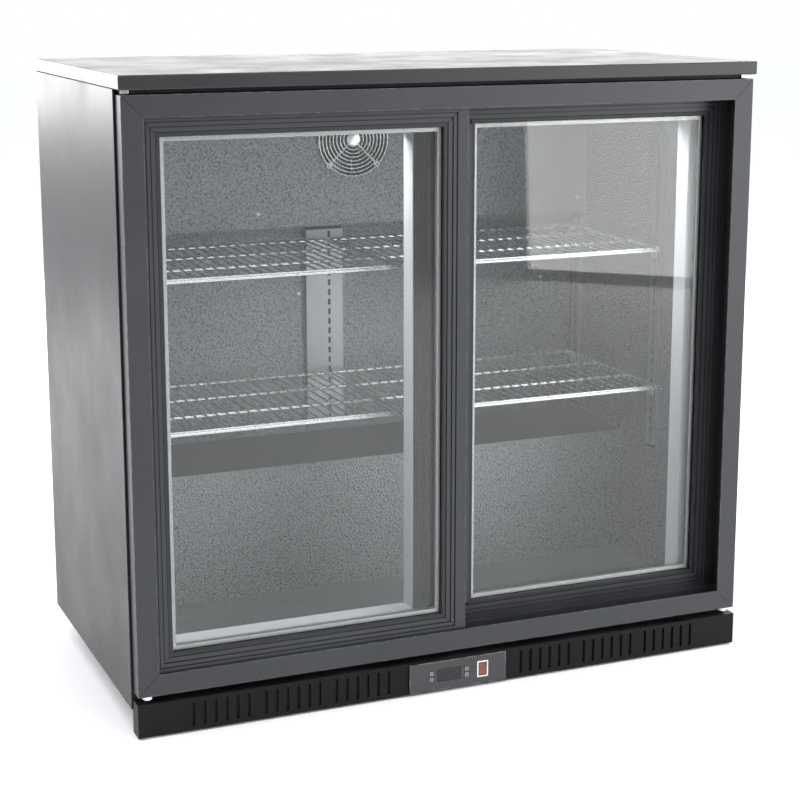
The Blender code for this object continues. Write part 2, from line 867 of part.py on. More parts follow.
def fan_guard(steel):
    """Wire finger guard: concentric rings welded to four diagonal spokes."""
    wire = GUARD_WIRE / 2
    spoke_y = back(COVER_FRONT - GAP - wire)
    ring_y = spoke_y - GUARD_WIRE * 0.7
    rings = bmesh.new()
    for k in range(GUARD_RINGS):
        radius = GUARD_R * (k + 1.2) / (GUARD_RINGS + 0.2)
        profile = [
            (radius - wire, -wire),
            (radius + wire, -wire),
            (radius + wire, wire),
            (radius - wire, wire),
            (radius - wire, -wire),
        ]
        add_turned(rings, profile, (0, ring_y, FAN_Z), (0, 1, 0), 24)
    bmesh.ops.remove_doubles(rings, verts=rings.verts, dist=1e-6)
    made = piece("fan_guard", rings, steel, smooth=True)
    spokes = bmesh.new()
    reach = GUARD_R + 0.016
    for sign in (1, -1):
        arm = add_box(spokes, (-reach, reach), (-wire, wire), (-wire, wire))
        turn = Matrix.Rotation(sign * pi / 4, 4, "Y")
        place = Matrix.Translation((0, spoke_y + (sign - 1) * 0.0002, FAN_Z))
        shift = Matrix.Translation((0, -FRONT, 0))
        bmesh.ops.transform(spokes, matrix=place @ turn @ shift, verts=arm)
    boolean(made, spokes, "UNION")


def add_blades(bm, centre, axis, hub_r, tip_r, half_depth, count, pitch, thickness):
    """Adds twisted fan blades that start inside the hub."""
    turn = Vector((0, 0, 1)).rotation_difference(Vector(axis)).to_matrix()
    for k in range(count):
        spin = Matrix.Rotation(2 * pi * k / count, 3, "Z")
        outlines = []
        for radius, chord in ((hub_r * 0.8, half_depth * 1.3), (tip_r, half_depth * 2.2)):
            twist = pitch * (1.15 if radius < tip_r else 0.85)
            points = []
            for along, across in ((-1, -1), (1, -1), (1, 1), (-1, 1)):
                u = along * chord / 2
                w = across * thickness / 2
                tangent = u * cos(twist) - w * sin(twist)
                height = u * sin(twist) + w * cos(twist)
                points.append(Vector((radius, tangent, height)))
            outlines.append([Vector(centre) + turn @ (spin @ p) for p in points])
        add_prism(bm, *outlines)


def fan_rotor(name, centre, axis, hub_r, tip_r, half_depth, count, plastic):
    """Fan rotor: a round hub with twisted blades."""
    bm = bmesh.new()
    profile = [
        (0, -half_depth),
        (hub_r - 0.002, -half_depth),
        (hub_r, -half_depth + 0.002),
        (hub_r, half_depth),
        (0, half_depth),
    ]
    add_turned(bm, profile, centre, axis, 20)
    made = piece(name, bm, plastic, origin=centre)
    blades = bmesh.new()
    add_blades(blades, centre, axis, hub_r, tip_r, half_depth, count, radians(38), 0.0016)
    boolean(made, blades, "UNION")


def evaporator_fan(plastic):
    """Axial fan behind the guard: a square housing with a strutted motor seat, and its rotor."""
    front = COVER_FRONT + LINER_T + GAP
    rear = front + FAN_THICK
    half = FAN_SQUARE / 2
    strut_front = rear - 0.003
    bm = bmesh.new()
    add_box(bm, (-half, half), (front, rear), (FAN_Z - half, FAN_Z + half))
    housing = piece("evaporator_fan_housing", bm, plastic)
    duct = bmesh.new()
    profile = [(0, -0.02), (FAN_HOLE_R, -0.02), (FAN_HOLE_R, 0.02), (0, 0.02)]
    add_turned(duct, profile, (0, back((front + rear) / 2), FAN_Z), (0, 1, 0), 32)
    boolean(housing, duct)
    seat = bmesh.new()
    profile = [(0, -0.0014), (0.022, -0.0014), (0.022, 0.0014), (0, 0.0014)]
    add_turned(seat, profile, (0, back(strut_front + 0.0015), FAN_Z), (0, 1, 0), 16)
    boolean(housing, seat, "UNION")
    strut = bmesh.new()
    wide = FAN_HOLE_R + 0.003
    add_box(strut, (-wide, wide), (strut_front, rear - GAP), (FAN_Z - 0.003, FAN_Z + 0.003))
    boolean(housing, strut, "UNION")
    post = bmesh.new()
    low = strut_front + GAP
    add_box(post, (-0.0031, 0.0031), (low, rear - 2 * GAP), (FAN_Z - wide, FAN_Z + wide))
    boolean(housing, post, "UNION")
    half_depth = (FAN_THICK - 0.003 - 4 * 0.0015) / 2
    centre = (0, back(front + 0.002 + half_depth), FAN_Z)
    fan_rotor("evaporator_fan", centre, (0, 1, 0), 0.019, 0.053, half_depth, 5, plastic)


def fin_block(name, x, depth, z, fins, along, metal):
    """Finned coil: a row of fins standing on a tube plate."""
    bm = bmesh.new()
    outline = []
    x0, x1 = x
    d0, d1 = depth
    low, high, base, tip = (x0, x1, d1, d0) if along == "x" else (d0, d1, x1, x0)
    web = base - (base - tip) * 0.12
    pitch = (high - low) / (fins - 0.5)
    outline.append((high, base))
    outline.append((low, base))
    for k in range(fins):
        start = low + k * pitch
        outline += [(start, tip), (start + pitch / 2, tip)]
        if k < fins - 1:
            outline += [(start + pitch / 2, web), (start + pitch, web)]
    if along == "x":
        outlines = [[(a, back(b), level) for a, b in outline] for level in z]
    else:
        outlines = [[(b, back(a), level) for a, b in outline] for level in z]
    add_prism(bm, *outlines)
    return piece(name, bm, metal)


def evaporator_coil(metal):
    """Finned evaporator coil behind the cover."""
    front = COVER_FRONT + LINER_T + FAN_THICK + 0.003
    rear = CAVITY_REAR - 0.003
    fin_block("evaporator_coil", (-0.300, 0.300), (front, rear), (0.625, 0.780), 22, "x", metal)


def compressor(paint):
    """Welded compressor pot on its mounting plate."""
    base = BASE_TOP + GAP
    centre_depth = (COMPARTMENT_FRONT + BACK_PANEL) / 2
    pot = bmesh.new()
    seam = 0.62
    foot_h = 0.016
    profile = [(0, foot_h)]
    steps = 5
    for k in range(1, steps + 1):
        angle = pi / 2 * k / steps
        profile.append((COMPRESSOR_R * sin(angle), foot_h + 0.030 * (1 - cos(angle))))
    rim = COMPRESSOR_H * seam
    profile += [
        (COMPRESSOR_R, rim),
        (COMPRESSOR_R + 0.004, rim),
        (COMPRESSOR_R + 0.004, rim + 0.005),
        (COMPRESSOR_R, rim + 0.005),
    ]
    crown = COMPRESSOR_H - rim - 0.005
    for k in range(1, steps):
        angle = pi / 2 * k / steps
        profile.append((COMPRESSOR_R * cos(angle), rim + 0.005 + crown * sin(angle)))
    profile.append((0, COMPRESSOR_H))
    add_turned(pot, profile, (COMPRESSOR_X, back(centre_depth), base), (0, 0, 1), 20)
    made = piece("compressor", pot, paint, smooth=True)
    plate = bmesh.new()
    half = COMPRESSOR_R + 0.014
    add_box(
        plate,
        (COMPRESSOR_X - half, COMPRESSOR_X + half),
        (centre_depth - half * 0.8, centre_depth + half * 0.8),
        (base, base + foot_h + 0.004),
    )
    boolean(made, plate, "UNION")


def condenser(metal, plastic):
    """Finned condenser with a round fan shroud, and the fan that blows over the compressor."""
    base = BASE_TOP + GAP
    centre_depth = (COMPARTMENT_FRONT + BACK_PANEL) / 2
    half = CONDENSER_FAN_R + 0.012
    x1 = CONDENSER_X + CONDENSER_T
    depth = (centre_depth - half, centre_depth + half)
    z = (base, base + 2 * half)
    coil = fin_block("condenser_coil", (CONDENSER_X, x1), depth, z, 14, "depth", metal)
    shroud = bmesh.new()
    add_box(shroud, (x1 - 0.001, x1 + 0.030), depth, z)
    boolean(coil, shroud, "UNION")
    centre_z = base + half
    duct = bmesh.new()
    radius = CONDENSER_FAN_R + 0.003
    profile = [(0, 0), (radius, 0), (radius, 0.06), (0, 0.06)]
    place = (x1 + 0.004, back(centre_depth), centre_z)
    add_turned(duct, profile, place, (1, 0, 0), 24)
    boolean(coil, duct)
    centre = (x1 + 0.016, back(centre_depth), centre_z)
    fan_rotor("condenser_fan", centre, (1, 0, 0), 0.020, CONDENSER_FAN_R, 0.009, 5, plastic)


def kick_grille(plastic):
    """Moulded grille below the doors: a slotted face with a top shelf and end returns."""
    half = HALF_W - GRILLE_INSET
    front = FRAME_SETBACK
    rear = SHELL_SETBACK - GAP
    bm = bmesh.new()
    add_box(bm, (-half, half), (front, rear), (GRILLE_BOTTOM, GRILLE_TOP))
    made = piece("kick_grille", bm, plastic)
    hollow = bmesh.new()
    inner = half - GRILLE_T
    add_box(
        hollow,
        (-inner, inner),
        (front + GRILLE_T, rear + 0.02),
        (GRILLE_BOTTOM - 0.02, GRILLE_TOP - GRILLE_T),
    )
    boolean(made, hollow)
    relief = bmesh.new()
    shelf_rear = front + GRILLE_SHELF
    add_box(
        relief,
        (-inner, inner),
        (shelf_rear, rear + 0.02),
        (GRILLE_TOP - 2 * GRILLE_T, GRILLE_TOP + 0.02),
    )
    boolean(made, relief)
    slots = bmesh.new()
    middle = (GRILLE_BOTTOM + GRILLE_TOP) / 2
    for side in (-1, 1):
        for group in range(3):
            centre = side * (FIRST_GROUP_X + group * GROUP_PITCH)
            for k in range(SLOTS_PER_GROUP):
                x = centre + (k - (SLOTS_PER_GROUP - 1) / 2) * SLOT_PITCH
                add_slot(slots, x, middle, front)
    window = PANEL_W / 2 - PANEL_BOX_MARGIN + 2 * GAP
    tall = PANEL_H / 2 - PANEL_BOX_MARGIN + 2 * GAP
    add_box(
        slots,
        (PANEL_X - window, PANEL_X + window),
        (front - 0.01, front + GRILLE_T + 0.004),
        (PANEL_Z - tall, PANEL_Z + tall),
    )
    boolean(made, slots)


def add_slot(bm, x, z, front):
    """Adds one upright slot with chamfered ends."""
    half_w = SLOT_W / 2
    half_h = SLOT_H / 2
    cut = half_w * 0.6
    outline = [
        (x - half_w, z - half_h + cut),
        (x - half_w + cut, z - half_h),
        (x + half_w - cut, z - half_h),
        (x + half_w, z - half_h + cut),
        (x + half_w, z + half_h - cut),
        (x + half_w - cut, z + half_h),
        (x - half_w + cut, z + half_h),
        (x - half_w, z + half_h - cut),
    ]
    depths = (front - 0.01, front + GRILLE_T + 0.004)
    add_prism(bm, *[[(a, back(d), b) for a, b in outline] for d in depths])


def control_panel(plastic):
    """Control housing clipped through the grille, with pockets for display, buttons and switch."""
    bm = bmesh.new()
    half_w = PANEL_W / 2
    half_h = PANEL_H / 2
    face_rear = FRAME_SETBACK - GAP
    add_box(
        bm,
        (PANEL_X - half_w, PANEL_X + half_w),
        (PANEL_FACE, face_rear),
        (PANEL_Z - half_h, PANEL_Z + half_h),
    )
    made = piece("control_panel", bm, plastic)
    box_w = half_w - PANEL_BOX_MARGIN
    box_h = half_h - PANEL_BOX_MARGIN
    box = bmesh.new()
    add_box(
        box,
        (PANEL_X - box_w, PANEL_X + box_w),
        (face_rear - 0.001, face_rear + PANEL_BOX_DEPTH),
        (PANEL_Z - box_h, PANEL_Z + box_h),
    )
    boolean(made, box, "UNION")
    pockets = bmesh.new()
    half_d = DISPLAY_SIZE[0] / 2 + GAP
    tall_d = DISPLAY_SIZE[1] / 2 + GAP
    display_x = PANEL_X + DISPLAY_X
    add_box(
        pockets,
        (display_x - half_d, display_x + half_d),
        (PANEL_FACE - 0.01, PANEL_FACE + DISPLAY_T + GAP),
        (PANEL_Z - tall_d, PANEL_Z + tall_d),
    )
    half_b = BUTTON / 2 + BUTTON_CLEAR
    for column in BUTTON_COLUMNS.values():
        for row in BUTTON_ROWS.values():
            add_box(
                pockets,
                (PANEL_X + column - half_b, PANEL_X + column + half_b),
                (PANEL_FACE - 0.01, PANEL_FACE + BUTTON_DEPTH + 2 * BUTTON_TRAVEL),
                (PANEL_Z + row - half_b, PANEL_Z + row + half_b),
            )
    half_r = ROCKER_W / 2 + 0.0004
    tall_r = ROCKER_HALF_H + 0.0020
    add_box(
        pockets,
        (PANEL_X + ROCKER_X - half_r, PANEL_X + ROCKER_X + half_r),
        (PANEL_FACE - 0.01, PANEL_FACE + 0.014),
        (PANEL_Z - tall_r, PANEL_Z + tall_r),
    )
    boolean(made, pockets)


def thermostat_display(glass):
    """Dark display window between the button columns."""
    x = PANEL_X + DISPLAY_X
    bm = bmesh.new()
    add_box(
        bm,
        (x - DISPLAY_SIZE[0] / 2, x + DISPLAY_SIZE[0] / 2),
        (PANEL_FACE + 0.0004, PANEL_FACE + DISPLAY_T),
        (PANEL_Z - DISPLAY_SIZE[1] / 2, PANEL_Z + DISPLAY_SIZE[1] / 2),
    )
    piece("thermostat_display", bm, glass)


def control_buttons(rubber):
    """Four square push buttons in two columns beside the display."""
    for column, x_shift in BUTTON_COLUMNS.items():
        for row, z_shift in BUTTON_ROWS.items():
            x = PANEL_X + x_shift
            z = PANEL_Z + z_shift
            bm = bmesh.new()
            add_box(
                bm,
                (x - BUTTON / 2, x + BUTTON / 2),
                (PANEL_FACE - BUTTON_PROUD, PANEL_FACE + BUTTON_DEPTH),
                (z - BUTTON / 2, z + BUTTON / 2),
            )
            origin = (x, back(PANEL_FACE), z)
            made = piece(f"button_{row}_{column}", bm, rubber, origin=origin)
            round_edges(made, 0.0005, 1)


def rocker_switch(plastic):
    """Power rocker, pressed in at its upper half; it tips about a pin across its middle."""
    x = PANEL_X + ROCKER_X
    pivot = (x, back(ROCKER_PIVOT), PANEL_Z)
    nose = ROCKER_PIVOT - PANEL_FACE - 0.0009
    outline = [
        (nose, 0),
        (nose + 0.0006, ROCKER_HALF_H),
        (-0.001, ROCKER_HALF_H),
        (-0.005, ROCKER_HALF_H * 0.5),
        (-0.005, -ROCKER_HALF_H * 0.5),
        (-0.001, -ROCKER_HALF_H),
        (nose + 0.0006, -ROCKER_HALF_H),
    ]
    bm = bmesh.new()
    outlines = []
    for side in (-1, 1):
        points = []
        for out, up in outline:
            y = -out * cos(ROCKER_TILT) + up * sin(ROCKER_TILT)
            z = up * cos(ROCKER_TILT) + out * sin(ROCKER_TILT)
            points.append((x + side * ROCKER_W / 2, pivot[1] + y, PANEL_Z + z))
        outlines.append(points)
    add_prism(bm, *outlines)
    piece("rocker_switch", bm, plastic, origin=pivot)


def build():
    """Makes every sub-part."""
    for old in list(bpy.data.objects):
        bpy.data.objects.remove(old, do_unlink=True)

    paint = finish("graphite_paint", (0.055, 0.060, 0.068), 0.35, 0.3)
    shell_paint = finish("shell_paint", (0.045, 0.047, 0.052), 0.30, 0.2)
    stucco = finish("embossed_aluminium", (0.42, 0.43, 0.45), 0.35, 0.9)
    pale = finish("pale_trim", (0.55, 0.56, 0.58), 0.45)
    rubber = finish("black_rubber", (0.012, 0.012, 0.013), 0.7)
    black = finish("black_plastic", (0.020, 0.020, 0.023), 0.45)
    foam = finish("insulation_foam", (0.75, 0.68, 0.45), 0.9)
    glass = finish("double_glazing", (0.80, 0.88, 0.90), 0.05, 0.0, 0.25)
    zinc = finish("bright_wire", (0.70, 0.71, 0.72), 0.25, 1.0)
    strip = finish("support_strip", (0.40, 0.41, 0.43), 0.35, 0.9)
    panel = finish("panel_plastic", (0.040, 0.041, 0.046), 0.4)
    dark_glass = finish("display_window", (0.01, 0.01, 0.012), 0.1)
    red = finish("switch_red", (0.55, 0.10, 0.06), 0.35)
    button = finish("button_grey", (0.16, 0.16, 0.17), 0.5)
    nylon = finish("roller_nylon", (0.60, 0.60, 0.58), 0.5)
    fins = finish("coil_fins", (0.60, 0.60, 0.62), 0.4, 1.0)
    pot = finish("compressor_black", (0.015, 0.015, 0.016), 0.5)
    pile = finish("pile_seal", (0.03, 0.03, 0.03), 0.95)

    worktop(shell_paint)
    side_panel("left_side_panel", -1, shell_paint)
    side_panel("right_side_panel", 1, shell_paint)
    back_panel(shell_paint)
    rear_grille(shell_paint)
    cable_gland(black)
    inner_liner(stucco)
    insulation_body(foam)
    base_pan(shell_paint)
    for end, depth in (("front", FOOT_INSET_FRONT), ("rear", DEPTH - FOOT_INSET_REAR)):
        for side_name, side in (("left", -1), ("right", 1)):
            foot(f"foot_{end}_{side_name}", side * (HALF_W - FOOT_INSET_X), depth, black)
    throat_trim(pale)
    centre_mullion(pale)
    mullion_seal(rubber)
    sliding_frame(paint)
    for side in ("left", "right"):
        door_frame(side, paint)
        door_glass(side, glass)
        x0, x1 = door_span(side)
        door_roller(f"{side}_door_roller_left", side, x0 + ROLLER_INSET, nylon)
        door_roller(f"{side}_door_roller_right", side, x1 - ROLLER_INSET, nylon)
    pile_seal(pile)
    end_x = CAVITY_HALF_W - PILASTER_PROUD - 2 * GAP - SHELF_END_CLEAR
    for level_name, level in SHELF_LEVELS.items():
        half_gap = SHELF_SPLIT_GAP / 2
        shelf(f"shelf_{level_name}_left", level, -end_x, SHELF_SPLIT_X - half_gap, zinc)
        shelf(f"shelf_{level_name}_right", level, SHELF_SPLIT_X + half_gap, end_x, zinc)
    shelf_supports(strip)
    evaporator_cover(stucco)
    fan_guard(zinc)
    evaporator_fan(black)
    evaporator_coil(fins)
    compressor(pot)
    condenser(fins, black)
    kick_grille(black)
    control_panel(panel)
    thermostat_display(dark_glass)
    control_buttons(button)
    rocker_switch(red)


build()
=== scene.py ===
import json
from math import cos, pi, radians, sin

import bpy
from mathutils import Matrix, Vector


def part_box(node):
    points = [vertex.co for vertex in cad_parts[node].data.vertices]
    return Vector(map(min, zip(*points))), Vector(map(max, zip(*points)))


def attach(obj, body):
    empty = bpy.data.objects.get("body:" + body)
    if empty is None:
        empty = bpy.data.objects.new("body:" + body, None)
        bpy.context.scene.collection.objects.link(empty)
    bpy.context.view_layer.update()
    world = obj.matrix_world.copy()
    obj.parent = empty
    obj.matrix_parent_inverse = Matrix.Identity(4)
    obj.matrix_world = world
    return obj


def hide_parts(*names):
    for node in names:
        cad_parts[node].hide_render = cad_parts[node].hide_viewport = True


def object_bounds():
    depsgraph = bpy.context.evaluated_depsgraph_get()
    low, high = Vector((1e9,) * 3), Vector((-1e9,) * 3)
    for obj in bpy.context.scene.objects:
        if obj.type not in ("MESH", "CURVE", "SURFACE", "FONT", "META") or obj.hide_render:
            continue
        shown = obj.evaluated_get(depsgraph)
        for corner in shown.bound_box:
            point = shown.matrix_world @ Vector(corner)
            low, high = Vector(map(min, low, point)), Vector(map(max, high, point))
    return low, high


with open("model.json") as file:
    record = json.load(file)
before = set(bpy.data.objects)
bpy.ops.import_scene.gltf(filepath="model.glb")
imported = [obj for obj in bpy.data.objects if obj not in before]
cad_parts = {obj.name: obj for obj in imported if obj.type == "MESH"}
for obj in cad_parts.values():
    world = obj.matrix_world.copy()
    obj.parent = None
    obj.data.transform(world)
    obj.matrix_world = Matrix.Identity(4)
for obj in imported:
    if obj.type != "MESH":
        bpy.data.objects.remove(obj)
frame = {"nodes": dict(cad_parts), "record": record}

cad_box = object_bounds()
cad_low = Vector(cad_box[0])


# ---- Studio -------------------------------------------------------------------------------
# A pale sweep of floor, a white room, softboxes to the right and behind, and a camera with a
# long lens a little to the left of the cabinet and above its worktop.

CAMERA_PLACE = (-0.9945, -2.3933, 0.9719)
CAMERA_YAW = radians(22.85)
CAMERA_PITCH = radians(11.77)
LENS = 82.3
LENS_SHIFT = -0.06
FLOOR_COLOUR = (0.97, 0.97, 0.975)
ROOM_TINT = (0.95, 0.97, 1.0)
ROOM_LIGHT = 1.15
MIRRORED_TINT = (0.93, 0.95, 1.0)
ROOM_MIRRORED = 0.35
SOFTBOXES = (  # name, place, aim, size, watts
    ("key_right", (2.4, -2.2, 1.52), (0.45, 0, 1.1), (2.4, 3.0), 74),
    ("key_over", (-0.2, -1.6, 2.6), (0, 0, 0.4), (2.4, 1.4), 26),
    ("rear_left", (-1.5, 2.7, 1.32), (-0.6, 0, 0.9), (1.9, 1.5), 70),
    ("rear_right", (1.5, 3.0, 1.15), (0.3, 0, 0.85), (3.2, 1.6), 52),
)
INSIDE_LAMP_X = 0.20
INSIDE_LAMP_SIZE = (0.30, 0.03)
INSIDE_LAMP_WATTS = 1.2

camera_data = bpy.data.cameras.new("camera")
camera_data.lens = LENS
camera_data.shift_y = LENS_SHIFT
camera = bpy.data.objects.new("camera", camera_data)
camera.location = CAMERA_PLACE
camera.rotation_euler = (pi / 2 - CAMERA_PITCH, 0, -CAMERA_YAW)
bpy.context.collection.objects.link(camera)
bpy.context.scene.camera = camera
bpy.context.scene.view_settings.view_transform = "Standard"


def softbox(name, place, aim, size, power, glossy=True):
    """A rectangular studio light that the camera can't see."""
    data = bpy.data.lights.new(name, "AREA")
    data.shape = "RECTANGLE"
    data.size, data.size_y = size
    data.energy = power
    lamp = bpy.data.objects.new(name, data)
    lamp.location = place
    lamp.rotation_euler = (Vector(aim) - Vector(place)).to_track_quat("-Z", "Y").to_euler()
    lamp.visible_camera = False
    lamp.visible_glossy = glossy
    bpy.context.collection.objects.link(lamp)
    return lamp


for softbox_values in SOFTBOXES:
    softbox(*softbox_values)
for side in (-1, 1):
    softbox(
        f"cabinet_lamp_{side}",
        (side * INSIDE_LAMP_X, cad_low.y + 0.125, 0.768),
        (side * INSIDE_LAMP_X, cad_low.y + 0.33, 0.20),
        INSIDE_LAMP_SIZE,
        INSIDE_LAMP_WATTS,
        glossy=False,
    )

world = bpy.data.worlds.new("white_room")
world.use_nodes = True
bpy.context.scene.world = world
sky = world.node_tree
sky.nodes.clear()
sky_out = sky.nodes.new("ShaderNodeOutputWorld")
sky_path = sky.nodes.new("ShaderNodeLightPath")


def sky_share(colour, strength):
    """One brightness of the white room."""
    made = sky.nodes.new("ShaderNodeBackground")
    made.inputs["Color"].default_value = (*colour, 1)
    made.inputs["Strength"].default_value = strength
    return made.outputs["Background"]


def sky_choice(ray, otherwise, chosen):
    """Gives one kind of ray its own brightness of the room."""
    mix = sky.nodes.new("ShaderNodeMixShader")
    sky.links.new(sky_path.outputs[ray], mix.inputs["Fac"])
    sky.links.new(otherwise, mix.inputs[1])
    sky.links.new(chosen, mix.inputs[2])
    return mix.outputs["Shader"]


room = sky_choice(
    "Is Glossy Ray",
    sky_share(ROOM_TINT, ROOM_LIGHT),
    sky_share(MIRRORED_TINT, ROOM_MIRRORED),
)
room = sky_choice("Is Camera Ray", room, sky_share((1, 1, 1), 1.0))
sky.links.new(room, sky_out.inputs["Surface"])


def add_primitive(operator, name, **options):
    """Adds one primitive by itself and puts its place into its mesh."""
    if bpy.context.object and bpy.context.object.mode != "OBJECT":
        bpy.ops.object.mode_set(mode="OBJECT")
    bpy.ops.object.select_all(action="DESELECT")
    operator(**options)
    made = bpy.context.object
    made.name = name
    bpy.ops.object.transform_apply(location=True, rotation=True, scale=True)
    return made


def pick(*pieces):
    """Selects pieces in object mode and makes the first one active."""
    bpy.ops.object.select_all(action="DESELECT")
    for made in pieces:
        made.select_set(True)
    bpy.context.view_layer.objects.active = pieces[0]


def finish_mesh(made):
    """Applies a piece's modifiers, last of all its making."""
    pick(made)
    for step in list(made.modifiers):
        bpy.ops.object.modifier_apply(modifier=step.name)


def make_material(name, colour, roughness, metallic=0.0):
    """A new Principled material, with its nodes and a coordinate node to work from."""
    made = bpy.data.materials.new(name)
    made.use_nodes = True
    tree = made.node_tree
    shader = tree.nodes["Principled BSDF"]
    shader.inputs["Base Color"].default_value = (*colour, 1)
    shader.inputs["Roughness"].default_value = roughness
    shader.inputs["Metallic"].default_value = metallic
    place = tree.nodes.new("ShaderNodeTexCoord")
    return made, tree, shader, place.outputs["Object"]


def paint_node(name, material):
    """Gives a CAD node its finish."""
    for slot in frame["nodes"][name].material_slots:
        slot.material = material


def feed(tree, value, socket):
    """Links a value that is a socket, and sets one that is a number or a colour."""
    if isinstance(value, bpy.types.NodeSocket):
        tree.links.new(value, socket)
    else:
        socket.default_value = (*value, 1) if socket.type == "RGBA" else value


def math_node(tree, operation, first, second):
    """One Math node on sockets or numbers."""
    node = tree.nodes.new("ShaderNodeMath")
    node.operation = operation
    feed(tree, first, node.inputs[0])
    feed(tree, second, node.inputs[1])
    return node.outputs[0]


def ramp_node(tree, value, start, end, low=0.0, high=1.0):
    """Maps a value from one range to another, clamped."""
    node = tree.nodes.new("ShaderNodeMapRange")
    node.inputs["From Min"].default_value = start
    node.inputs["From Max"].default_value = end
    node.inputs["To Min"].default_value = low
    node.inputs["To Max"].default_value = high
    tree.links.new(value, node.inputs["Value"])
    return node.outputs[0]


def noise_node(tree, place, scale, detail=2.0, roughness=0.5):
    """A noise texture in object space."""
    node = tree.nodes.new("ShaderNodeTexNoise")
    feed(tree, scale, node.inputs["Scale"])
    node.inputs["Detail"].default_value = detail
    node.inputs["Roughness"].default_value = roughness
    tree.links.new(place, node.inputs["Vector"])
    return node.outputs["Fac"]


def mix_colours(tree, factor, first, second):
    """Mixes two colours, each a socket or an RGB value."""
    node = tree.nodes.new("ShaderNodeMix")
    node.data_type = "RGBA"
    tree.links.new(factor, node.inputs["Factor"])
    feed(tree, first, node.inputs[6])
    feed(tree, second, node.inputs[7])
    return node.outputs[2]


def bump_node(tree, shader, height, strength, distance):
    """Feeds a height into the shader's normal."""
    node = tree.nodes.new("ShaderNodeBump")
    node.inputs["Strength"].default_value = strength
    node.inputs["Distance"].default_value = distance
    tree.links.new(height, node.inputs["Height"])
    tree.links.new(node.outputs["Normal"], shader.inputs["Normal"])


def mottle(tree, shader, mask, first, second, smooth, dull):
    """Lets a mask mix two colours and, over its middle, two roughnesses."""
    tree.links.new(mix_colours(tree, mask, first, second), shader.inputs["Base Color"])
    tree.links.new(ramp_node(tree, mask, 0.3, 0.7, smooth, dull), shader.inputs["Roughness"])


floor = add_primitive(bpy.ops.mesh.primitive_plane_add, "studio_floor", size=30)
floor_paint, tree, shader, place = make_material("studio_floor", FLOOR_COLOUR, 0.8)
soft_marks = noise_node(tree, place, 0.8, 3)
tree.links.new(
    mix_colours(tree, soft_marks, (0.95, 0.95, 0.955), FLOOR_COLOUR), shader.inputs["Base Color"]
)
floor.data.materials.append(floor_paint)


# ---- Steel shell --------------------------------------------------------------------------
# Worktop, side panels, back, rear grille and base pan are folded sheet steel with a dark
# semi-gloss powder coat, which shows a faint orange peel and gets rubbed along its edges.

SHELL_COLOUR = (0.012, 0.0125, 0.014)
SHELL_WORN = (0.060, 0.062, 0.066)
SIDE_SHINE = 0.24
SCREW_R = 0.0036
SCREWS_PER_SIDE = 5
SCREW_INSET = 0.022
SCREW_INSET_TOP = 0.018
SCREW_INSET_ENDS = 0.03


def shader_group(name, inputs, outputs):
    """An empty shader node group with named number, vector or colour sockets."""
    made = bpy.data.node_groups.new(name, "ShaderNodeTree")
    kinds = {"number": "NodeSocketFloat", "vector": "NodeSocketVector", "colour": "NodeSocketColor"}
    for label, kind, value in inputs:
        socket = made.interface.new_socket(label, in_out="INPUT", socket_type=kinds[kind])
        if value is not None:
            socket.default_value = value
    for label, kind in outputs:
        made.interface.new_socket(label, in_out="OUTPUT", socket_type=kinds[kind])
    entry = made.nodes.new("NodeGroupInput")
    leave = made.nodes.new("NodeGroupOutput")
    return made, entry.outputs, leave.inputs


def use_group(tree, group, **values):
    """Places a node group in a material and sets or links its inputs."""
    node = tree.nodes.new("ShaderNodeGroup")
    node.node_tree = group
    for label, value in values.items():
        feed(tree, value, node.inputs[label.replace("_", " ")])
    return node.outputs


def vector_math(tree, operation, first, second):
    """One Vector Math node on two sockets."""
    node = tree.nodes.new("ShaderNodeVectorMath")
    node.operation = operation
    tree.links.new(first, node.inputs[0])
    tree.links.new(second, node.inputs[1])
    return node.outputs["Vector"]


def split_axes(tree, vector):
    """The X, Y and Z of a vector."""
    node = tree.nodes.new("ShaderNodeSeparateXYZ")
    tree.links.new(vector, node.inputs[0])
    return node.outputs


# Orange peel: shallow waves a few millimetres long with a fine grain over them.
orange_peel, entry, leave = shader_group(
    "orange_peel",
    [("Place", "vector", None), ("Wave Scale", "number", 260.0), ("Grain Scale", "number", 1500.0)],
    [("Height", "number"), ("Smear", "number")],
)
waves = noise_node(orange_peel, entry["Place"], entry["Wave Scale"], 1)
grain = noise_node(orange_peel, entry["Place"], entry["Grain Scale"], 1)
grain_share = math_node(orange_peel, "MULTIPLY", grain, 0.35)
orange_peel.links.new(math_node(orange_peel, "ADD", waves, grain_share), leave["Height"])
smear = noise_node(orange_peel, entry["Place"], 7.0, 4, 0.62)
orange_peel.links.new(ramp_node(orange_peel, smear, 0.35, 0.70), leave["Smear"])

# Edge rub: a thin broken line where two or three faces of a piece's box meet.
edge_rub, entry, leave = shader_group(
    "edge_rub",
    [
        ("Place", "vector", None),
        ("Low", "vector", None),
        ("High", "vector", None),
        ("Width", "number", 0.0012),
        ("Breaks", "number", 90.0),
    ],
    [("Mask", "number")],
)
to_low = vector_math(edge_rub, "SUBTRACT", entry["Place"], entry["Low"])
to_high = vector_math(edge_rub, "SUBTRACT", entry["High"], entry["Place"])
nearest = split_axes(edge_rub, vector_math(edge_rub, "MINIMUM", to_low, to_high))
faces_near = None
for axis in ("X", "Y", "Z"):
    closeness = math_node(edge_rub, "DIVIDE", nearest[axis], entry["Width"])
    near = ramp_node(edge_rub, closeness, 0.0, 1.6, 1.0, 0.0)
    faces_near = near if faces_near is None else math_node(edge_rub, "ADD", faces_near, near)
corner = ramp_node(edge_rub, faces_near, 1.25, 1.75)
breaks = noise_node(edge_rub, entry["Place"], entry["Breaks"], 3, 0.7)
broken = ramp_node(edge_rub, breaks, 0.42, 0.62)
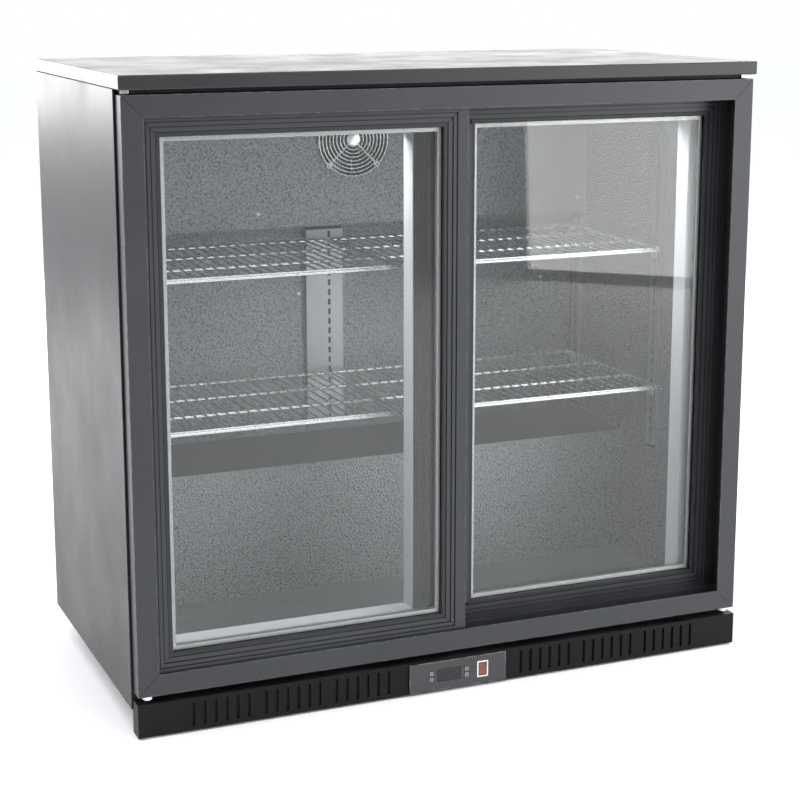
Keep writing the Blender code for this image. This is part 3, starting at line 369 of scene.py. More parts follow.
edge_rub.links.new(math_node(edge_rub, "MULTIPLY", corner, broken), leave["Mask"])

# Dust: settles on faces that look up, thicker in patches.
dust, entry, leave = shader_group(
    "dust", [("Place", "vector", None), ("Amount", "number", 0.3)], [("Mask", "number")]
)
facing = dust.nodes.new("ShaderNodeNewGeometry")
upward = ramp_node(dust, split_axes(dust, facing.outputs["Normal"])["Z"], 0.4, 0.95)
patches = ramp_node(dust, noise_node(dust, entry["Place"], 14.0, 5, 0.65), 0.38, 0.75)
specks = ramp_node(dust, noise_node(dust, entry["Place"], 900.0, 1), 0.60, 0.72)
spread = math_node(dust, "MAXIMUM", patches, specks)
amount = math_node(dust, "MULTIPLY", spread, entry["Amount"])
dust.links.new(math_node(dust, "MULTIPLY", amount, upward), leave["Mask"])


def coated_steel(name, low, high, colour, worn, roughness, bump=0.05, rub=0.0012, shine=0.5):
    """Powder-coated sheet: orange peel, smears, rubbed edges and a little dust."""
    made, tree, shader, place = make_material(name, colour, roughness)
    shader.inputs["Specular IOR Level"].default_value = shine
    peel = use_group(tree, orange_peel, Place=place)
    edges = use_group(tree, edge_rub, Place=place, Low=tuple(low), High=tuple(high), Width=rub)
    settled = use_group(tree, dust, Place=place, Amount=0.10)
    worn_edges = math_node(tree, "MULTIPLY", edges["Mask"], 0.8)
    base = mix_colours(tree, peel["Smear"], colour, tuple(c * 1.25 for c in colour))
    base = mix_colours(tree, worn_edges, base, worn)
    base = mix_colours(tree, settled["Mask"], base, (0.30, 0.29, 0.28))
    tree.links.new(base, shader.inputs["Base Color"])
    rough = ramp_node(tree, peel["Smear"], 0, 1, roughness - 0.03, roughness + 0.05)
    rough = math_node(tree, "ADD", rough, math_node(tree, "MULTIPLY", settled["Mask"], 0.4))
    tree.links.new(rough, shader.inputs["Roughness"])
    bump_node(tree, shader, peel["Height"], bump, 0.0002)
    return made


for node in ("worktop", "left_side_panel", "right_side_panel", "back_panel", "rear_grille"):
    low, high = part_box(node)
    shine = SIDE_SHINE if "side_panel" in node else 0.5
    paint_node(
        node, coated_steel(f"{node}_paint", low, high, SHELL_COLOUR, SHELL_WORN, 0.36, shine=shine)
    )


def select_faces(made, wanted):
    """Opens a piece in edit mode with only the wanted faces selected."""
    bpy.ops.object.mode_set(mode="EDIT")
    bpy.ops.mesh.select_mode(type="FACE")
    bpy.ops.mesh.select_all(action="DESELECT")
    bpy.ops.object.mode_set(mode="OBJECT")
    for face in made.data.polygons:
        face.select = wanted(face)
    bpy.ops.object.mode_set(mode="EDIT")


def join_pieces(name, pieces):
    """Joins like pieces into one mesh."""
    pick(*pieces)
    if len(pieces) > 1:
        bpy.ops.object.join()
    made = bpy.context.object
    made.name = name
    return made


def fit_piece(made, material, body, stands_for=(), smooth=0):
    """Gives a finished piece its material and its body, hides the CAD parts it stands for, and
    smooths round ones.
    """
    pick(made)
    if smooth:
        bpy.ops.object.shade_smooth_by_angle(angle=radians(smooth))
    made.data.materials.clear()
    made.data.materials.append(material)
    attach(made, body)
    if stands_for:
        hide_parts(*stands_for)


def zinc_finish(name, colour=(0.62, 0.62, 0.63), roughness=0.28):
    """Plated steel with faint brush marks and dull spots."""
    made, tree, shader, place = make_material(name, colour, roughness, 1.0)
    spots = noise_node(tree, place, 400.0, 3, 0.6)
    dull = tuple(c * 0.72 for c in colour)
    mottle(tree, shader, spots, colour, dull, roughness - 0.06, roughness + 0.14)
    bump_node(tree, shader, spots, 0.08, 0.0001)
    return made


zinc = zinc_finish("zinc_plate")


def cylinder(name, middle, radius, depth, sides, rotation=(0, 0, 0)):
    """A plain cylinder, upright unless it is turned."""
    return add_primitive(
        bpy.ops.mesh.primitive_cylinder_add,
        name,
        vertices=sides,
        radius=radius,
        depth=depth,
        location=middle,
        rotation=rotation,
    )


def screw_heads(name, places, axis, radius):
    """Domed zinc screw heads with a cross recess, one mesh for a row of like screws."""
    heads = []
    axis = Vector(axis)
    turn = Vector((0, 0, 1)).rotation_difference(axis).to_euler()
    for place in places:
        middle = Vector(place) + axis * radius * 0.25
        head = cylinder("head", middle, radius, radius * 0.55, 12, turn)
        select_faces(head, lambda face: face.normal.dot(axis) > 0.9)
        bpy.ops.mesh.inset(thickness=radius * 0.28, depth=radius * 0.12)
        bpy.ops.mesh.inset(thickness=radius * 0.34, depth=0)
        bpy.ops.mesh.inset(thickness=radius * 0.10, depth=-radius * 0.3)
        bpy.ops.object.mode_set(mode="OBJECT")
        heads.append(head)
    fit_piece(join_pieces(name, heads), zinc, "cabinet", smooth=35)


sheet_low, sheet_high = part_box("back_panel")
rear_screws = []
screw_run = sheet_high.z - sheet_low.z - 2 * SCREW_INSET_ENDS
for x in (sheet_low.x + SCREW_INSET, sheet_high.x - SCREW_INSET):
    for step in range(SCREWS_PER_SIDE):
        height = sheet_low.z + SCREW_INSET_ENDS + screw_run * step / (SCREWS_PER_SIDE - 1)
        rear_screws.append((x, sheet_high.y, height))
for step in range(1, 4):
    x = sheet_low.x + (sheet_high.x - sheet_low.x) * step / 4
    rear_screws.append((x, sheet_high.y, sheet_high.z - SCREW_INSET_TOP))
screw_heads("back_panel_screws", rear_screws, (0, 1, 0), SCREW_R)


# ---- Rear grille --------------------------------------------------------------------------
# The lower back is a separate sheet that comes off for service. Pressed hoods shade its
# slots, six screws hold it, and a moulded gland fills the hole for the supply lead.

HOOD_REACH = 0.0045
HOOD_HEIGHT = 0.0105
LOUVRE_ROWS = 6
LOUVRE_SPAN = (0.043, 0.342)
HOOD_DROP = 0.002
GRILLE_SCREW_INSET = 0.016
GRILLE_SCREW_LOW = 0.014
GRILLE_SCREW_TOP = 0.012


def block(name, corner, opposite, bevel=0.0004, segments=2):
    """A box between two opposite corners with softened edges."""
    low = Vector([min(pair) for pair in zip(corner, opposite)])
    high = Vector([max(pair) for pair in zip(corner, opposite)])
    made = add_primitive(
        bpy.ops.mesh.primitive_cube_add, name, size=1, location=(low + high) / 2, scale=high - low
    )
    if bevel:
        bpy.ops.object.mode_set(mode="EDIT")
        bpy.ops.mesh.select_all(action="SELECT")
        bpy.ops.mesh.bevel(offset=bevel, segments=segments, affect="EDGES")
        bpy.ops.object.mode_set(mode="OBJECT")
    return made


grille_low, grille_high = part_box("rear_grille")
hoods = []
for side in (-1, 1):
    span = sorted(side * reach for reach in LOUVRE_SPAN)
    for row in range(LOUVRE_ROWS):
        sill = grille_low.z + (grille_high.z - grille_low.z) * (row + 1.5) / (LOUVRE_ROWS + 2)
        hood = block(
            "hood",
            (span[0], grille_high.y - 0.0002, sill - HOOD_DROP),
            (span[1], grille_high.y + HOOD_REACH, sill - HOOD_DROP + HOOD_HEIGHT),
            0,
        )
        bpy.ops.object.mode_set(mode="EDIT")
        bpy.ops.mesh.select_mode(type="EDGE")
        bpy.ops.mesh.select_all(action="DESELECT")
        bpy.ops.object.mode_set(mode="OBJECT")
        corners = hood.data.vertices
        for edge in hood.data.edges:
            ends = [corners[i].co for i in edge.vertices]
            edge.select = all(
                v.z > sill + HOOD_HEIGHT / 2 and v.y > grille_high.y + HOOD_REACH / 2 for v in ends
            )
        bpy.ops.object.mode_set(mode="EDIT")
        bpy.ops.mesh.bevel(offset=HOOD_REACH * 0.92, segments=4, affect="EDGES")
        bpy.ops.object.mode_set(mode="OBJECT")
        select_faces(hood, lambda face: face.normal.z < -0.9)
        bpy.ops.mesh.inset(thickness=0.0008)
        bpy.ops.mesh.inset(thickness=0, depth=-HOOD_REACH)
        bpy.ops.object.mode_set(mode="OBJECT")
        hoods.append(hood)
hood_paint = coated_steel("hood_paint", grille_low, grille_high, SHELL_COLOUR, SHELL_WORN, 0.34)
fit_piece(join_pieces("rear_louvre_hoods", hoods), hood_paint, "cabinet")

grille_screws = [
    (x, grille_high.y, z)
    for x in (grille_low.x + GRILLE_SCREW_INSET, 0.0, grille_high.x - GRILLE_SCREW_INSET)
    for z in (grille_low.z + GRILLE_SCREW_LOW, grille_high.z - GRILLE_SCREW_TOP)
]
screw_heads("rear_grille_screws", grille_screws, (0, 1, 0), SCREW_R)

# Grain: the fine leather-like texture of a moulded plastic, with a slow change of gloss.
grain_group, entry, leave = shader_group(
    "moulded_grain",
    [("Place", "vector", None), ("Scale", "number", 1200.0)],
    [("Height", "number"), ("Gloss", "number")],
)
cells = grain_group.nodes.new("ShaderNodeTexVoronoi")
cells.feature = "SMOOTH_F1"
grain_group.links.new(entry["Place"], cells.inputs["Vector"])
grain_group.links.new(entry["Scale"], cells.inputs["Scale"])
fine = noise_node(grain_group, entry["Place"], 3500.0, 1)
fine = math_node(grain_group, "MULTIPLY", fine, 0.4)
grain_group.links.new(
    math_node(grain_group, "ADD", cells.outputs["Distance"], fine), leave["Height"]
)
grain_group.links.new(noise_node(grain_group, entry["Place"], 11.0, 4, 0.6), leave["Gloss"])


def moulded(name, colour, roughness, scale=1200.0, bump=0.12, dusty=0.12, shine=0.5):
    """Moulded plastic with a fine grain, uneven gloss and dust on what looks up."""
    made, tree, shader, place = make_material(name, colour, roughness)
    shader.inputs["Specular IOR Level"].default_value = shine
    grain = use_group(tree, grain_group, Place=place, Scale=scale)
    settled = use_group(tree, dust, Place=place, Amount=dusty)
    base = mix_colours(tree, grain["Gloss"], colour, tuple(c * 1.18 for c in colour))
    base = mix_colours(tree, settled["Mask"], base, (0.34, 0.33, 0.32))
    tree.links.new(base, shader.inputs["Base Color"])
    rough = ramp_node(tree, grain["Gloss"], 0.3, 0.7, roughness - 0.06, roughness + 0.06)
    tree.links.new(rough, shader.inputs["Roughness"])
    bump_node(tree, shader, grain["Height"], bump, 0.00015)
    return made


def clean_plastic(name, colour, roughness, bump=0.05, dusty=0.0):
    """Moulded plastic of the finest grain, for what is kept clean."""
    return moulded(name, colour, roughness, 1500.0, bump, dusty)


paint_node("cable_gland", moulded("gland_nylon", (0.020, 0.020, 0.021), 0.42))


# ---- Levelling feet -----------------------------------------------------------------------
# Four rubber-soled plastic feet on threaded studs, each with a plated hexagon nut that locks
# it against the base pan.

NUT_R = 0.0082
NUT_H = 0.0046
NUT_AIR = 0.0003

foot_plastic = moulded("foot_plastic", (0.018, 0.018, 0.019), 0.5, 900.0, 0.15, 0.35)
for place in ("front_left", "front_right", "rear_left", "rear_right"):
    paint_node(f"foot_{place}", foot_plastic)
    foot_low, foot_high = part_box(f"foot_{place}")
    middle = (foot_low + foot_high) / 2
    under_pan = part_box("base_pan")[0].z - NUT_H / 2 - NUT_AIR
    nut = cylinder(f"foot_nut_{place}", (middle.x, middle.y, under_pan), NUT_R, NUT_H, 6)
    select_faces(nut, lambda face: abs(face.normal.z) > 0.9)
    bpy.ops.mesh.inset(thickness=0.0012)
    bpy.ops.mesh.select_all(action="SELECT")
    bpy.ops.mesh.bevel(offset=0.0005, segments=2, affect="EDGES")
    bpy.ops.object.mode_set(mode="OBJECT")
    fit_piece(nut, zinc, "cabinet")


# ---- Machine compartment ------------------------------------------------------------------
# A hermetic compressor in black enamel and a finned condenser with its fan stand on the base
# pan. Only slivers of them show through the grilles.

low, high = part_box("compressor")
enamel = coated_steel(
    "compressor_enamel", low, high, (0.012, 0.012, 0.013), (0.07, 0.07, 0.07), 0.22, 0.1
)
paint_node("compressor", enamel)


def finned_metal(name, pitch):
    """Stacked aluminium fins: thin bright edges, with painted shade in the gaps between them."""
    made, tree, shader, place = make_material(name, (0.5, 0.51, 0.52), 0.38, 0.9)
    across = math_node(tree, "DIVIDE", split_axes(tree, place)["X"], pitch)
    phase = math_node(tree, "FRACT", across, 0)
    edge = math_node(tree, "ABSOLUTE", math_node(tree, "SUBTRACT", phase, 0.5), 0)
    fin = ramp_node(tree, edge, 0.12, 0.22, 1.0, 0.0)
    grime = noise_node(tree, place, 60.0, 4, 0.6)
    metal = mix_colours(tree, grime, (0.55, 0.56, 0.57), (0.36, 0.35, 0.34))
    # Painted shade: the gaps between fins get a near-black colour instead of the metal's.
    tree.links.new(mix_colours(tree, fin, (0.03, 0.03, 0.03), metal), shader.inputs["Base Color"])
    tree.links.new(ramp_node(tree, grime, 0.3, 0.7, 0.32, 0.5), shader.inputs["Roughness"])
    bump_node(tree, shader, fin, 0.6, 0.0006)
    return made


paint_node("condenser_coil", finned_metal("condenser_fins", 0.0042))
paint_node("condenser_fan", moulded("fan_plastic", (0.022, 0.022, 0.023), 0.4, dusty=0.3))


# ---- Front frame --------------------------------------------------------------------------
# Four mitred aluminium extrusions, powder coated graphite, with two tracks in the head, the
# jambs and the sill. Black plastic channels line the tracks, and small clips hold the frame.

GRAPHITE = (0.019, 0.0205, 0.0235)
GRAPHITE_WORN = (0.11, 0.115, 0.125)
TRACK_FRONTS = (0.003, 0.036)
TRACK_W = 0.030
TRACK_DEPTH = 0.014
LINER_T = 0.0006
LINER_AIR = 0.0001
LIP_AIR = 0.0006
JAMB_END_AIR = 0.001
FRAME_BORDER = 0.028
CLIP_W = 0.010
CLIP_INSET = 0.008
TAPE_INSET = 0.014
CAP_R = 0.0062
CAP_H = 0.0046


def coat_graphite(node):
    """Powder coats an extrusion of the frame or of a door."""
    low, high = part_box(node)
    name = f"{node}_coat"
    paint_node(node, coated_steel(name, low, high, GRAPHITE, GRAPHITE_WORN, 0.40, 0.06, 0.0009))


for node in ("frame_head", "frame_sill", "frame_jamb_left", "frame_jamb_right"):
    coat_graphite(node)

head_low, head_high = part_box("frame_head")
sill_low, sill_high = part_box("frame_sill")
black_channel = clean_plastic("black_channel", (0.004, 0.004, 0.0045), 0.62)
strips = []
for front in TRACK_FRONTS:
    near = head_low.y + front + LINER_AIR
    far = head_low.y + front + TRACK_W - LINER_AIR
    for node, mouth in (("frame_jamb_left", 1), ("frame_jamb_right", -1)):
        low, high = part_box(node)
        lip = high.x if mouth > 0 else low.x
        floor_x = lip - mouth * (TRACK_DEPTH - LINER_AIR)
        inner_x = floor_x + mouth * LINER_T
        edge_x = lip - mouth * LIP_AIR
        z0, z1 = sill_high.z + JAMB_END_AIR, head_low.z - JAMB_END_AIR
        strips.append(block("strip", (floor_x, near, z0), (inner_x, far, z1), 0))
        for y0, y1 in ((near, near + LINER_T), (far - LINER_T, far)):
            strips.append(block("strip", (inner_x, y0, z0), (edge_x, y1, z1), 0.0002, 1))
    reach = head_high.x - FRAME_BORDER + TRACK_DEPTH - 0.0005
    roof = head_low.z + TRACK_DEPTH - LINER_AIR
    strips.append(block("strip", (-reach, near, roof - LINER_T), (reach, far, roof), 0))
    z0, z1 = head_low.z + LIP_AIR, roof - LINER_T
    for y0, y1 in ((near, near + LINER_T), (far - LINER_T, far)):
        strips.append(block("strip", (-reach, y0, z0), (reach, y1, z1), 0.0002, 1))
fit_piece(join_pieces("frame_channel_liners", strips), black_channel, "cabinet")

top_clips = []
under_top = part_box("worktop")[0].z
over_head = head_high.z + 0.0003
for side in (-1, 1):
    x = side * (head_high.x - CLIP_INSET)
    top_clips.append(
        block(
            "clip",
            (x - CLIP_W / 2, head_low.y + 0.010, over_head),
            (x + CLIP_W / 2, head_low.y + 0.022, under_top + 0.004),
            0.0005,
        )
    )
fit_piece(join_pieces("frame_top_clips", top_clips), zinc, "cabinet")
gap_tape = block(
    "frame_gap_tape",
    (-head_high.x + TAPE_INSET, head_low.y + 0.012, over_head),
    (head_high.x - TAPE_INSET, head_low.y + 0.016, under_top + 0.003),
    0.0006,
)
fit_piece(gap_tape, black_channel, "cabinet")

# A white nylon stud shows under each lower corner of the frame.
caps = []
for side in (-1, 1):
    middle = (side * (sill_high.x - 0.013), sill_low.y + 0.008, sill_low.z - 0.0026)
    cap = cylinder("cap", middle, CAP_R, CAP_H, 24)
    select_faces(cap, lambda face: face.normal.z < -0.9)
    bpy.ops.mesh.inset(thickness=0.0012, depth=0.0008)
    bpy.ops.mesh.inset(thickness=0.0020, depth=0.0004)
    bpy.ops.object.mode_set(mode="OBJECT")
    caps.append(cap)
white_nylon = clean_plastic("white_nylon", (0.80, 0.80, 0.78), 0.35)
studs = join_pieces("frame_corner_studs", caps)
fit_piece(studs, white_nylon, "cabinet", smooth=40)


# ---- Doors --------------------------------------------------------------------------------
# Each door is four extrusions with two fine beads round the opening, coated like the frame,
# and a rolled black rubber strip that wedges the glass. Nylon rollers run in the sill.

LEDGE_INSET = 0.0281
LEDGE_W = 0.0058
LEDGE_DEPTH = 0.0045
RUBBER_RISE = 0.0016
RUBBER_LAP = 0.0020

for side in ("left", "right"):
    for bar in ("top_rail", "bottom_rail", "outer_stile", "meeting_stile"):
        coat_graphite(f"{side}_door_{bar}")
    nylon = clean_plastic(f"{side}_roller_nylon", (0.70, 0.70, 0.67), 0.4, 0.06)
    for end in ("left", "right"):
        paint_node(f"{side}_door_roller_{end}", nylon)


def ring(name, low, high, width, bevel=0.0004):
    """A mitred rectangular ring that faces the front: a plate inset and opened through."""
    made = block(name, low, high, 0)
    select_faces(made, lambda face: abs(face.normal.y) > 0.9)
    bpy.ops.mesh.inset(thickness=width)
    bpy.ops.mesh.bridge_edge_loops()
    bpy.ops.object.mode_set(mode="OBJECT")
    if bevel:
        soft = made.modifiers.new("soft_edges", "BEVEL")
        soft.width = bevel
        soft.segments = 2
        soft.limit_method = "ANGLE"
        finish_mesh(made)
    return made


rubber, tree, shader, place = make_material("glazing_rubber", (0.006, 0.006, 0.0065), 0.48)
bloom = noise_node(tree, place, 45.0, 4, 0.6)
mottle(tree, shader, bloom, (0.005, 0.005, 0.0055), (0.014, 0.014, 0.015), 0.40, 0.58)
bump_node(tree, shader, noise_node(tree, place, 1600.0, 2), 0.12, 0.00012)

for side in ("left", "right"):
    glass_low, glass_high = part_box(f"{side}_door_glass")
    rail_low, rail_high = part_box(f"{side}_door_top_rail")
    bottom_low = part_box(f"{side}_door_bottom_rail")[0]
    ledge = rail_low.y + LEDGE_DEPTH
    wedge = ring(
        f"{side}_door_glazing_rubber",
        (glass_low.x - RUBBER_LAP, ledge - RUBBER_RISE, bottom_low.z + LEDGE_INSET),
        (glass_high.x + RUBBER_LAP, ledge - 0.0001, rail_high.z - LEDGE_INSET),
        LEDGE_W,
        0.0007,
    )
    fit_piece(wedge, rubber, f"{side}_door")

pile, tree, shader, place = make_material("pile_felt", (0.05, 0.05, 0.052), 0.9)
tufts = noise_node(tree, place, 2200.0, 3, 0.7)
mottle(tree, shader, tufts, (0.03, 0.03, 0.031), (0.09, 0.09, 0.093), 0.82, 0.98)
bump_node(tree, shader, tufts, 0.7, 0.0006)
paint_node("left_door_pile_seal", pile)


# ---- Double glazing -----------------------------------------------------------------------
# Two sheets of float glass held apart by an aluminium spacer, whose bright edge frames the
# view, with black sealant run round outside it.

PANE_T = 0.004
SPACER_INSET = 0.0042
SPACER_FACE = 0.0058
PANE_AIR = 0.0001
SEALANT_INSET = 0.0003
GLASS_IOR = 1.33


def clear_glass(name):
    """Float glass that lets lamps through, with a few faint wipe marks."""
    made, tree, shader, place = make_material(name, (0.985, 0.992, 0.989), 0.0)
    shader.inputs["Transmission Weight"].default_value = 1.0
    shader.inputs["IOR"].default_value = GLASS_IOR
    wipes = tree.nodes.new("ShaderNodeTexWave")
    wipes.inputs["Scale"].default_value = 3.0
    wipes.inputs["Distortion"].default_value = 9.0
    wipes.inputs["Detail"].default_value = 3.0
    tree.links.new(place, wipes.inputs["Vector"])
    tree.links.new(
        ramp_node(tree, wipes.outputs["Fac"], 0.90, 1.0, 0.0, 0.02), shader.inputs["Roughness"]
    )
    lets_light = tree.nodes.new("ShaderNodeBsdfTransparent")
    lets_light.inputs["Color"].default_value = (0.93, 0.95, 0.94, 1)
    rays = tree.nodes.new("ShaderNodeLightPath")
    mix = tree.nodes.new("ShaderNodeMixShader")
    tree.links.new(rays.outputs["Is Shadow Ray"], mix.inputs["Fac"])
    tree.links.new(shader.outputs["BSDF"], mix.inputs[1])
    tree.links.new(lets_light.outputs["BSDF"], mix.inputs[2])
    tree.links.new(mix.outputs["Shader"], tree.nodes["Material Output"].inputs["Surface"])
    return made


pane_glass = clear_glass("float_glass")
spacer_metal = zinc_finish("spacer_aluminium", (0.42, 0.425, 0.43), 0.48)
for side in ("left", "right"):
    body = f"{side}_door"
    node = f"{side}_door_glass"
    low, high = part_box(node)
    outer = block(f"{side}_door_outer_pane", low, (high.x, low.y + PANE_T, high.z), 0.0004)
    fit_piece(outer, pane_glass, body, (node,))
    inner = block(f"{side}_door_inner_pane", (low.x, high.y - PANE_T, low.z), high, 0.0004)
    fit_piece(inner, pane_glass, body, (node,))
    gap_low, gap_high = low.y + PANE_T + PANE_AIR, high.y - PANE_T - PANE_AIR
    spacer = ring(
        f"{side}_door_glass_spacer",
        (low.x + SPACER_INSET, gap_low, low.z + SPACER_INSET),
        (high.x - SPACER_INSET, gap_high, high.z - SPACER_INSET),
        SPACER_FACE,
    )
    fit_piece(spacer, spacer_metal, body, (node,))
    sealant = ring(
        f"{side}_door_glass_sealant",
        (low.x + SEALANT_INSET, gap_low, low.z + SEALANT_INSET),
        (high.x - SEALANT_INSET, gap_high, high.z - SEALANT_INSET),
        SPACER_INSET - 0.0004,
        0,
    )
    fit_piece(sealant, rubber, body, (node,))


# ---- Throat and centre mullion ------------------------------------------------------------
# A pale moulded trim joins the frame to the liner. The mullion is the same pale plastic and
# carries a black rubber seal with fine ribs either side of a smooth grey strip.

RIB_PITCH = 0.0042
RIB_W = 0.0024
RIB_COUNT = 5
CENTRE_STRIP_W = 0.027
RIB_OFFSET = 0.0025
SEAL_BASE_T = 0.0012

for node, name, colour in (
    ("throat_trim", "pale_trim_plastic", (0.52, 0.53, 0.56)),
    ("centre_mullion", "mullion_plastic", (0.60, 0.61, 0.63)),
):
    paint_node(node, clean_plastic(name, colour, 0.34, dusty=0.05))

seal_low, seal_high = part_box("mullion_seal")
seal_parts = [
    block("base", (seal_low.x, seal_high.y - SEAL_BASE_T, seal_low.z), seal_high, 0.0002, 1)
]
for side in (-1, 1):
    for rib in range(RIB_COUNT):
        x = side * (CENTRE_STRIP_W / 2 + RIB_OFFSET + RIB_PITCH * rib)
        seal_parts.append(
            block(
                "rib",
                (x - RIB_W / 2, seal_low.y, seal_low.z),
                (x + RIB_W / 2, seal_high.y - SEAL_BASE_T + 0.0002, seal_high.z),
                0.0006,
            )
        )
ribbed = join_pieces("mullion_ribbed_seal", seal_parts)
fit_piece(ribbed, rubber, "cabinet", ("mullion_seal",))
strip = block(
    "mullion_centre_strip",
    (-CENTRE_STRIP_W / 2 + 0.0006, seal_low.y - 0.0002, seal_low.z),
    (CENTRE_STRIP_W / 2 - 0.0006, seal_high.y - SEAL_BASE_T - 0.0001, seal_high.z),
    0.0005,
)
strip_plastic = clean_plastic("mullion_strip_plastic", (0.055, 0.055, 0.060), 0.42)
fit_piece(strip, strip_plastic, "cabinet", ("mullion_seal",))


# ---- Liner --------------------------------------------------------------------------------
# The cabinet is lined with stucco-embossed aluminium sheet, and the evaporator cover is the
# same sheet, held by small screws. A smooth dark cover lies on the step over the machinery.

LINER_COLOUR = (0.23, 0.232, 0.24)
STUCCO_SCALE = 420.0
STUCCO_DEPTH = 0.0008
STEP_COVER_T = 0.0008
STEP_BELOW_ROOM = 0.0025
STEP_PAST_ROOM = 0.0085
STEP_BEFORE_ROOM = 0.0029
SMALL_SCREW_R = 0.0027
COVER_SCREW_INSET = 0.018
COVER_SCREW_LOW = 0.022
REAR_SCREW_PLACES = ((-0.070, 0.490), (0.343, 0.490), (-0.340, 0.490), (0.150, 0.330))

# Stucco: rounded pebbles of two sizes pressed into the sheet, with painted shade in the hollows
# between them.
stucco, entry, leave = shader_group(
    "stucco",
    [("Place", "vector", None), ("Scale", "number", STUCCO_SCALE)],
    [("Height", "number"), ("Hollow Shade", "number"), ("Tarnish", "number")],
)
pebbles = stucco.nodes.new("ShaderNodeTexVoronoi")
pebbles.feature = "SMOOTH_F1"
pebbles.inputs["Smoothness"].default_value = 0.6
stucco.links.new(entry["Place"], pebbles.inputs["Vector"])
stucco.links.new(entry["Scale"], pebbles.inputs["Scale"])
small = noise_node(stucco, entry["Place"], 900.0, 2, 0.6)
height = math_node(stucco, "SUBTRACT", 1.0, pebbles.outputs["Distance"])
height = math_node(stucco, "ADD", height, math_node(stucco, "MULTIPLY", small, 0.5))
stucco.links.new(height, leave["Height"])
# This mask marks the hollows between pebbles, where shade is painted.
stucco.links.new(ramp_node(stucco, pebbles.outputs["Distance"], 0.35, 0.75), leave["Hollow Shade"])
stucco.links.new(noise_node(stucco, entry["Place"], 6.0, 5, 0.6), leave["Tarnish"])


def embossed(name, colour, roughness):
    """Stucco-embossed aluminium sheet."""
    made, tree, shader, place = make_material(name, colour, roughness, 0.85)
    pressed = use_group(tree, stucco, Place=place, Scale=STUCCO_SCALE)
    base = mix_colours(tree, pressed["Tarnish"], colour, tuple(c * 0.86 for c in colour))
    # Painted shade: the hollows between pebbles are darkened to 0.42 of the sheet's colour.
    base = mix_colours(tree, pressed["Hollow Shade"], base, tuple(c * 0.42 for c in colour))
    tree.links.new(base, shader.inputs["Base Color"])
    rough = ramp_node(tree, pressed["Tarnish"], 0.3, 0.7, roughness - 0.05, roughness + 0.08)
    tree.links.new(rough, shader.inputs["Roughness"])
    bump_node(tree, shader, pressed["Height"], 1.0, STUCCO_DEPTH)
    return made


paint_node("inner_liner", embossed("liner_sheet", LINER_COLOUR, 0.36))
paint_node("evaporator_cover", embossed("cover_sheet", LINER_COLOUR, 0.36))

openings = frame["record"]["physics"]["openings"]
step_room = next(room for room in openings if room["name"] == "space_over_step")
step_low, step_high = (Vector(corner) for corner in step_room["box_m"])
wall_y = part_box("pilaster_rear_centre")[1].y
step_top = step_low.z - STEP_BELOW_ROOM
step_half = step_high.x + STEP_PAST_ROOM
step_front = step_low.y - STEP_BEFORE_ROOM
cover = block(
    "step_cover",
    (-step_half, step_front, step_top + 0.0002),
    (step_half, wall_y, step_top + STEP_COVER_T),
    0.0002,
    1,
)
step_sheet = zinc_finish("step_sheet", (0.11, 0.112, 0.118), 0.45)
fit_piece(cover, step_sheet, "cabinet")

wall_screws = [(x, wall_y + 0.0003, z) for x, z in REAR_SCREW_PLACES]
screw_heads("rear_wall_screws", wall_screws, (0, -1, 0), SMALL_SCREW_R)
cover_low, cover_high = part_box("evaporator_cover")
cover_screws = [
    (x, cover_low.y, z)
    for x in (cover_low.x + COVER_SCREW_INSET, -0.150, 0.150, cover_high.x - COVER_SCREW_INSET)
    for z in (cover_low.z + COVER_SCREW_LOW, cover_high.z - COVER_SCREW_INSET)
]
screw_heads("evaporator_cover_screws", cover_screws, (0, -1, 0), SMALL_SCREW_R)

foam, tree, shader, place = make_material("insulation_foam", (0.62, 0.54, 0.30), 0.9)
foam_cells = noise_node(tree, place, 700.0, 4, 0.7)
mottle(tree, shader, foam_cells, (0.50, 0.42, 0.22), (0.68, 0.60, 0.36), 0.82, 0.97)
bump_node(tree, shader, foam_cells, 0.5, 0.001)
paint_node("insulation_body", foam)


# ---- Evaporator fan -----------------------------------------------------------------------
# A black axial fan blows through a round hole in the cover. A bright wire guard of rings
# welded to crossed spokes is screwed over it by four eyes.

GUARD_RINGS = 9
GUARD_WIRE_R = 0.0010
GUARD_SPOKE_R = 0.0013
GUARD_OUTER_R = 0.0545
GUARD_INNER_R = 0.0100
GUARD_EYE_R = 0.0036
HUB_R = 0.0092
SPOKE_START_R = 0.0085

for node in ("evaporator_fan", "evaporator_fan_housing"):
    paint_node(node, moulded(f"{node}_plastic", (0.012, 0.012, 0.013), 0.4, 1100.0, 0.08, 0.05))
paint_node("evaporator_coil", finned_metal("evaporator_fins", 0.0038))

guard_low, guard_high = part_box("fan_guard")
guard_middle = (guard_low + guard_high) / 2
ring_y = guard_low.y + GUARD_WIRE_R + 0.0001
ring_middle = Vector((guard_middle.x, ring_y, guard_middle.z))
faces_front = (pi / 2, 0, 0)


def wire_ring(name, middle, radius, wire, sides):
    """A ring of round wire that faces the front."""
    return add_primitive(
        bpy.ops.mesh.primitive_torus_add,
        name,
        major_radius=radius,
        minor_radius=wire,
        major_segments=sides,
        minor_segments=8,
        location=middle,
        rotation=faces_front,
    )


wires = []
for number in range(GUARD_RINGS):
    radius = GUARD_INNER_R + (GUARD_OUTER_R - GUARD_INNER_R) * number / (GUARD_RINGS - 1)
    wires.append(wire_ring("ring", ring_middle, radius, GUARD_WIRE_R, 56))


def rod(name, start, end, radius, sides=8):
    """A straight round wire between two points."""
    start, end = Vector(start), Vector(end)
    run = end - start
    turn = run.to_track_quat("Z", "Y").to_euler()
    return cylinder(name, (start + end) / 2, radius, run.length, sides, turn)


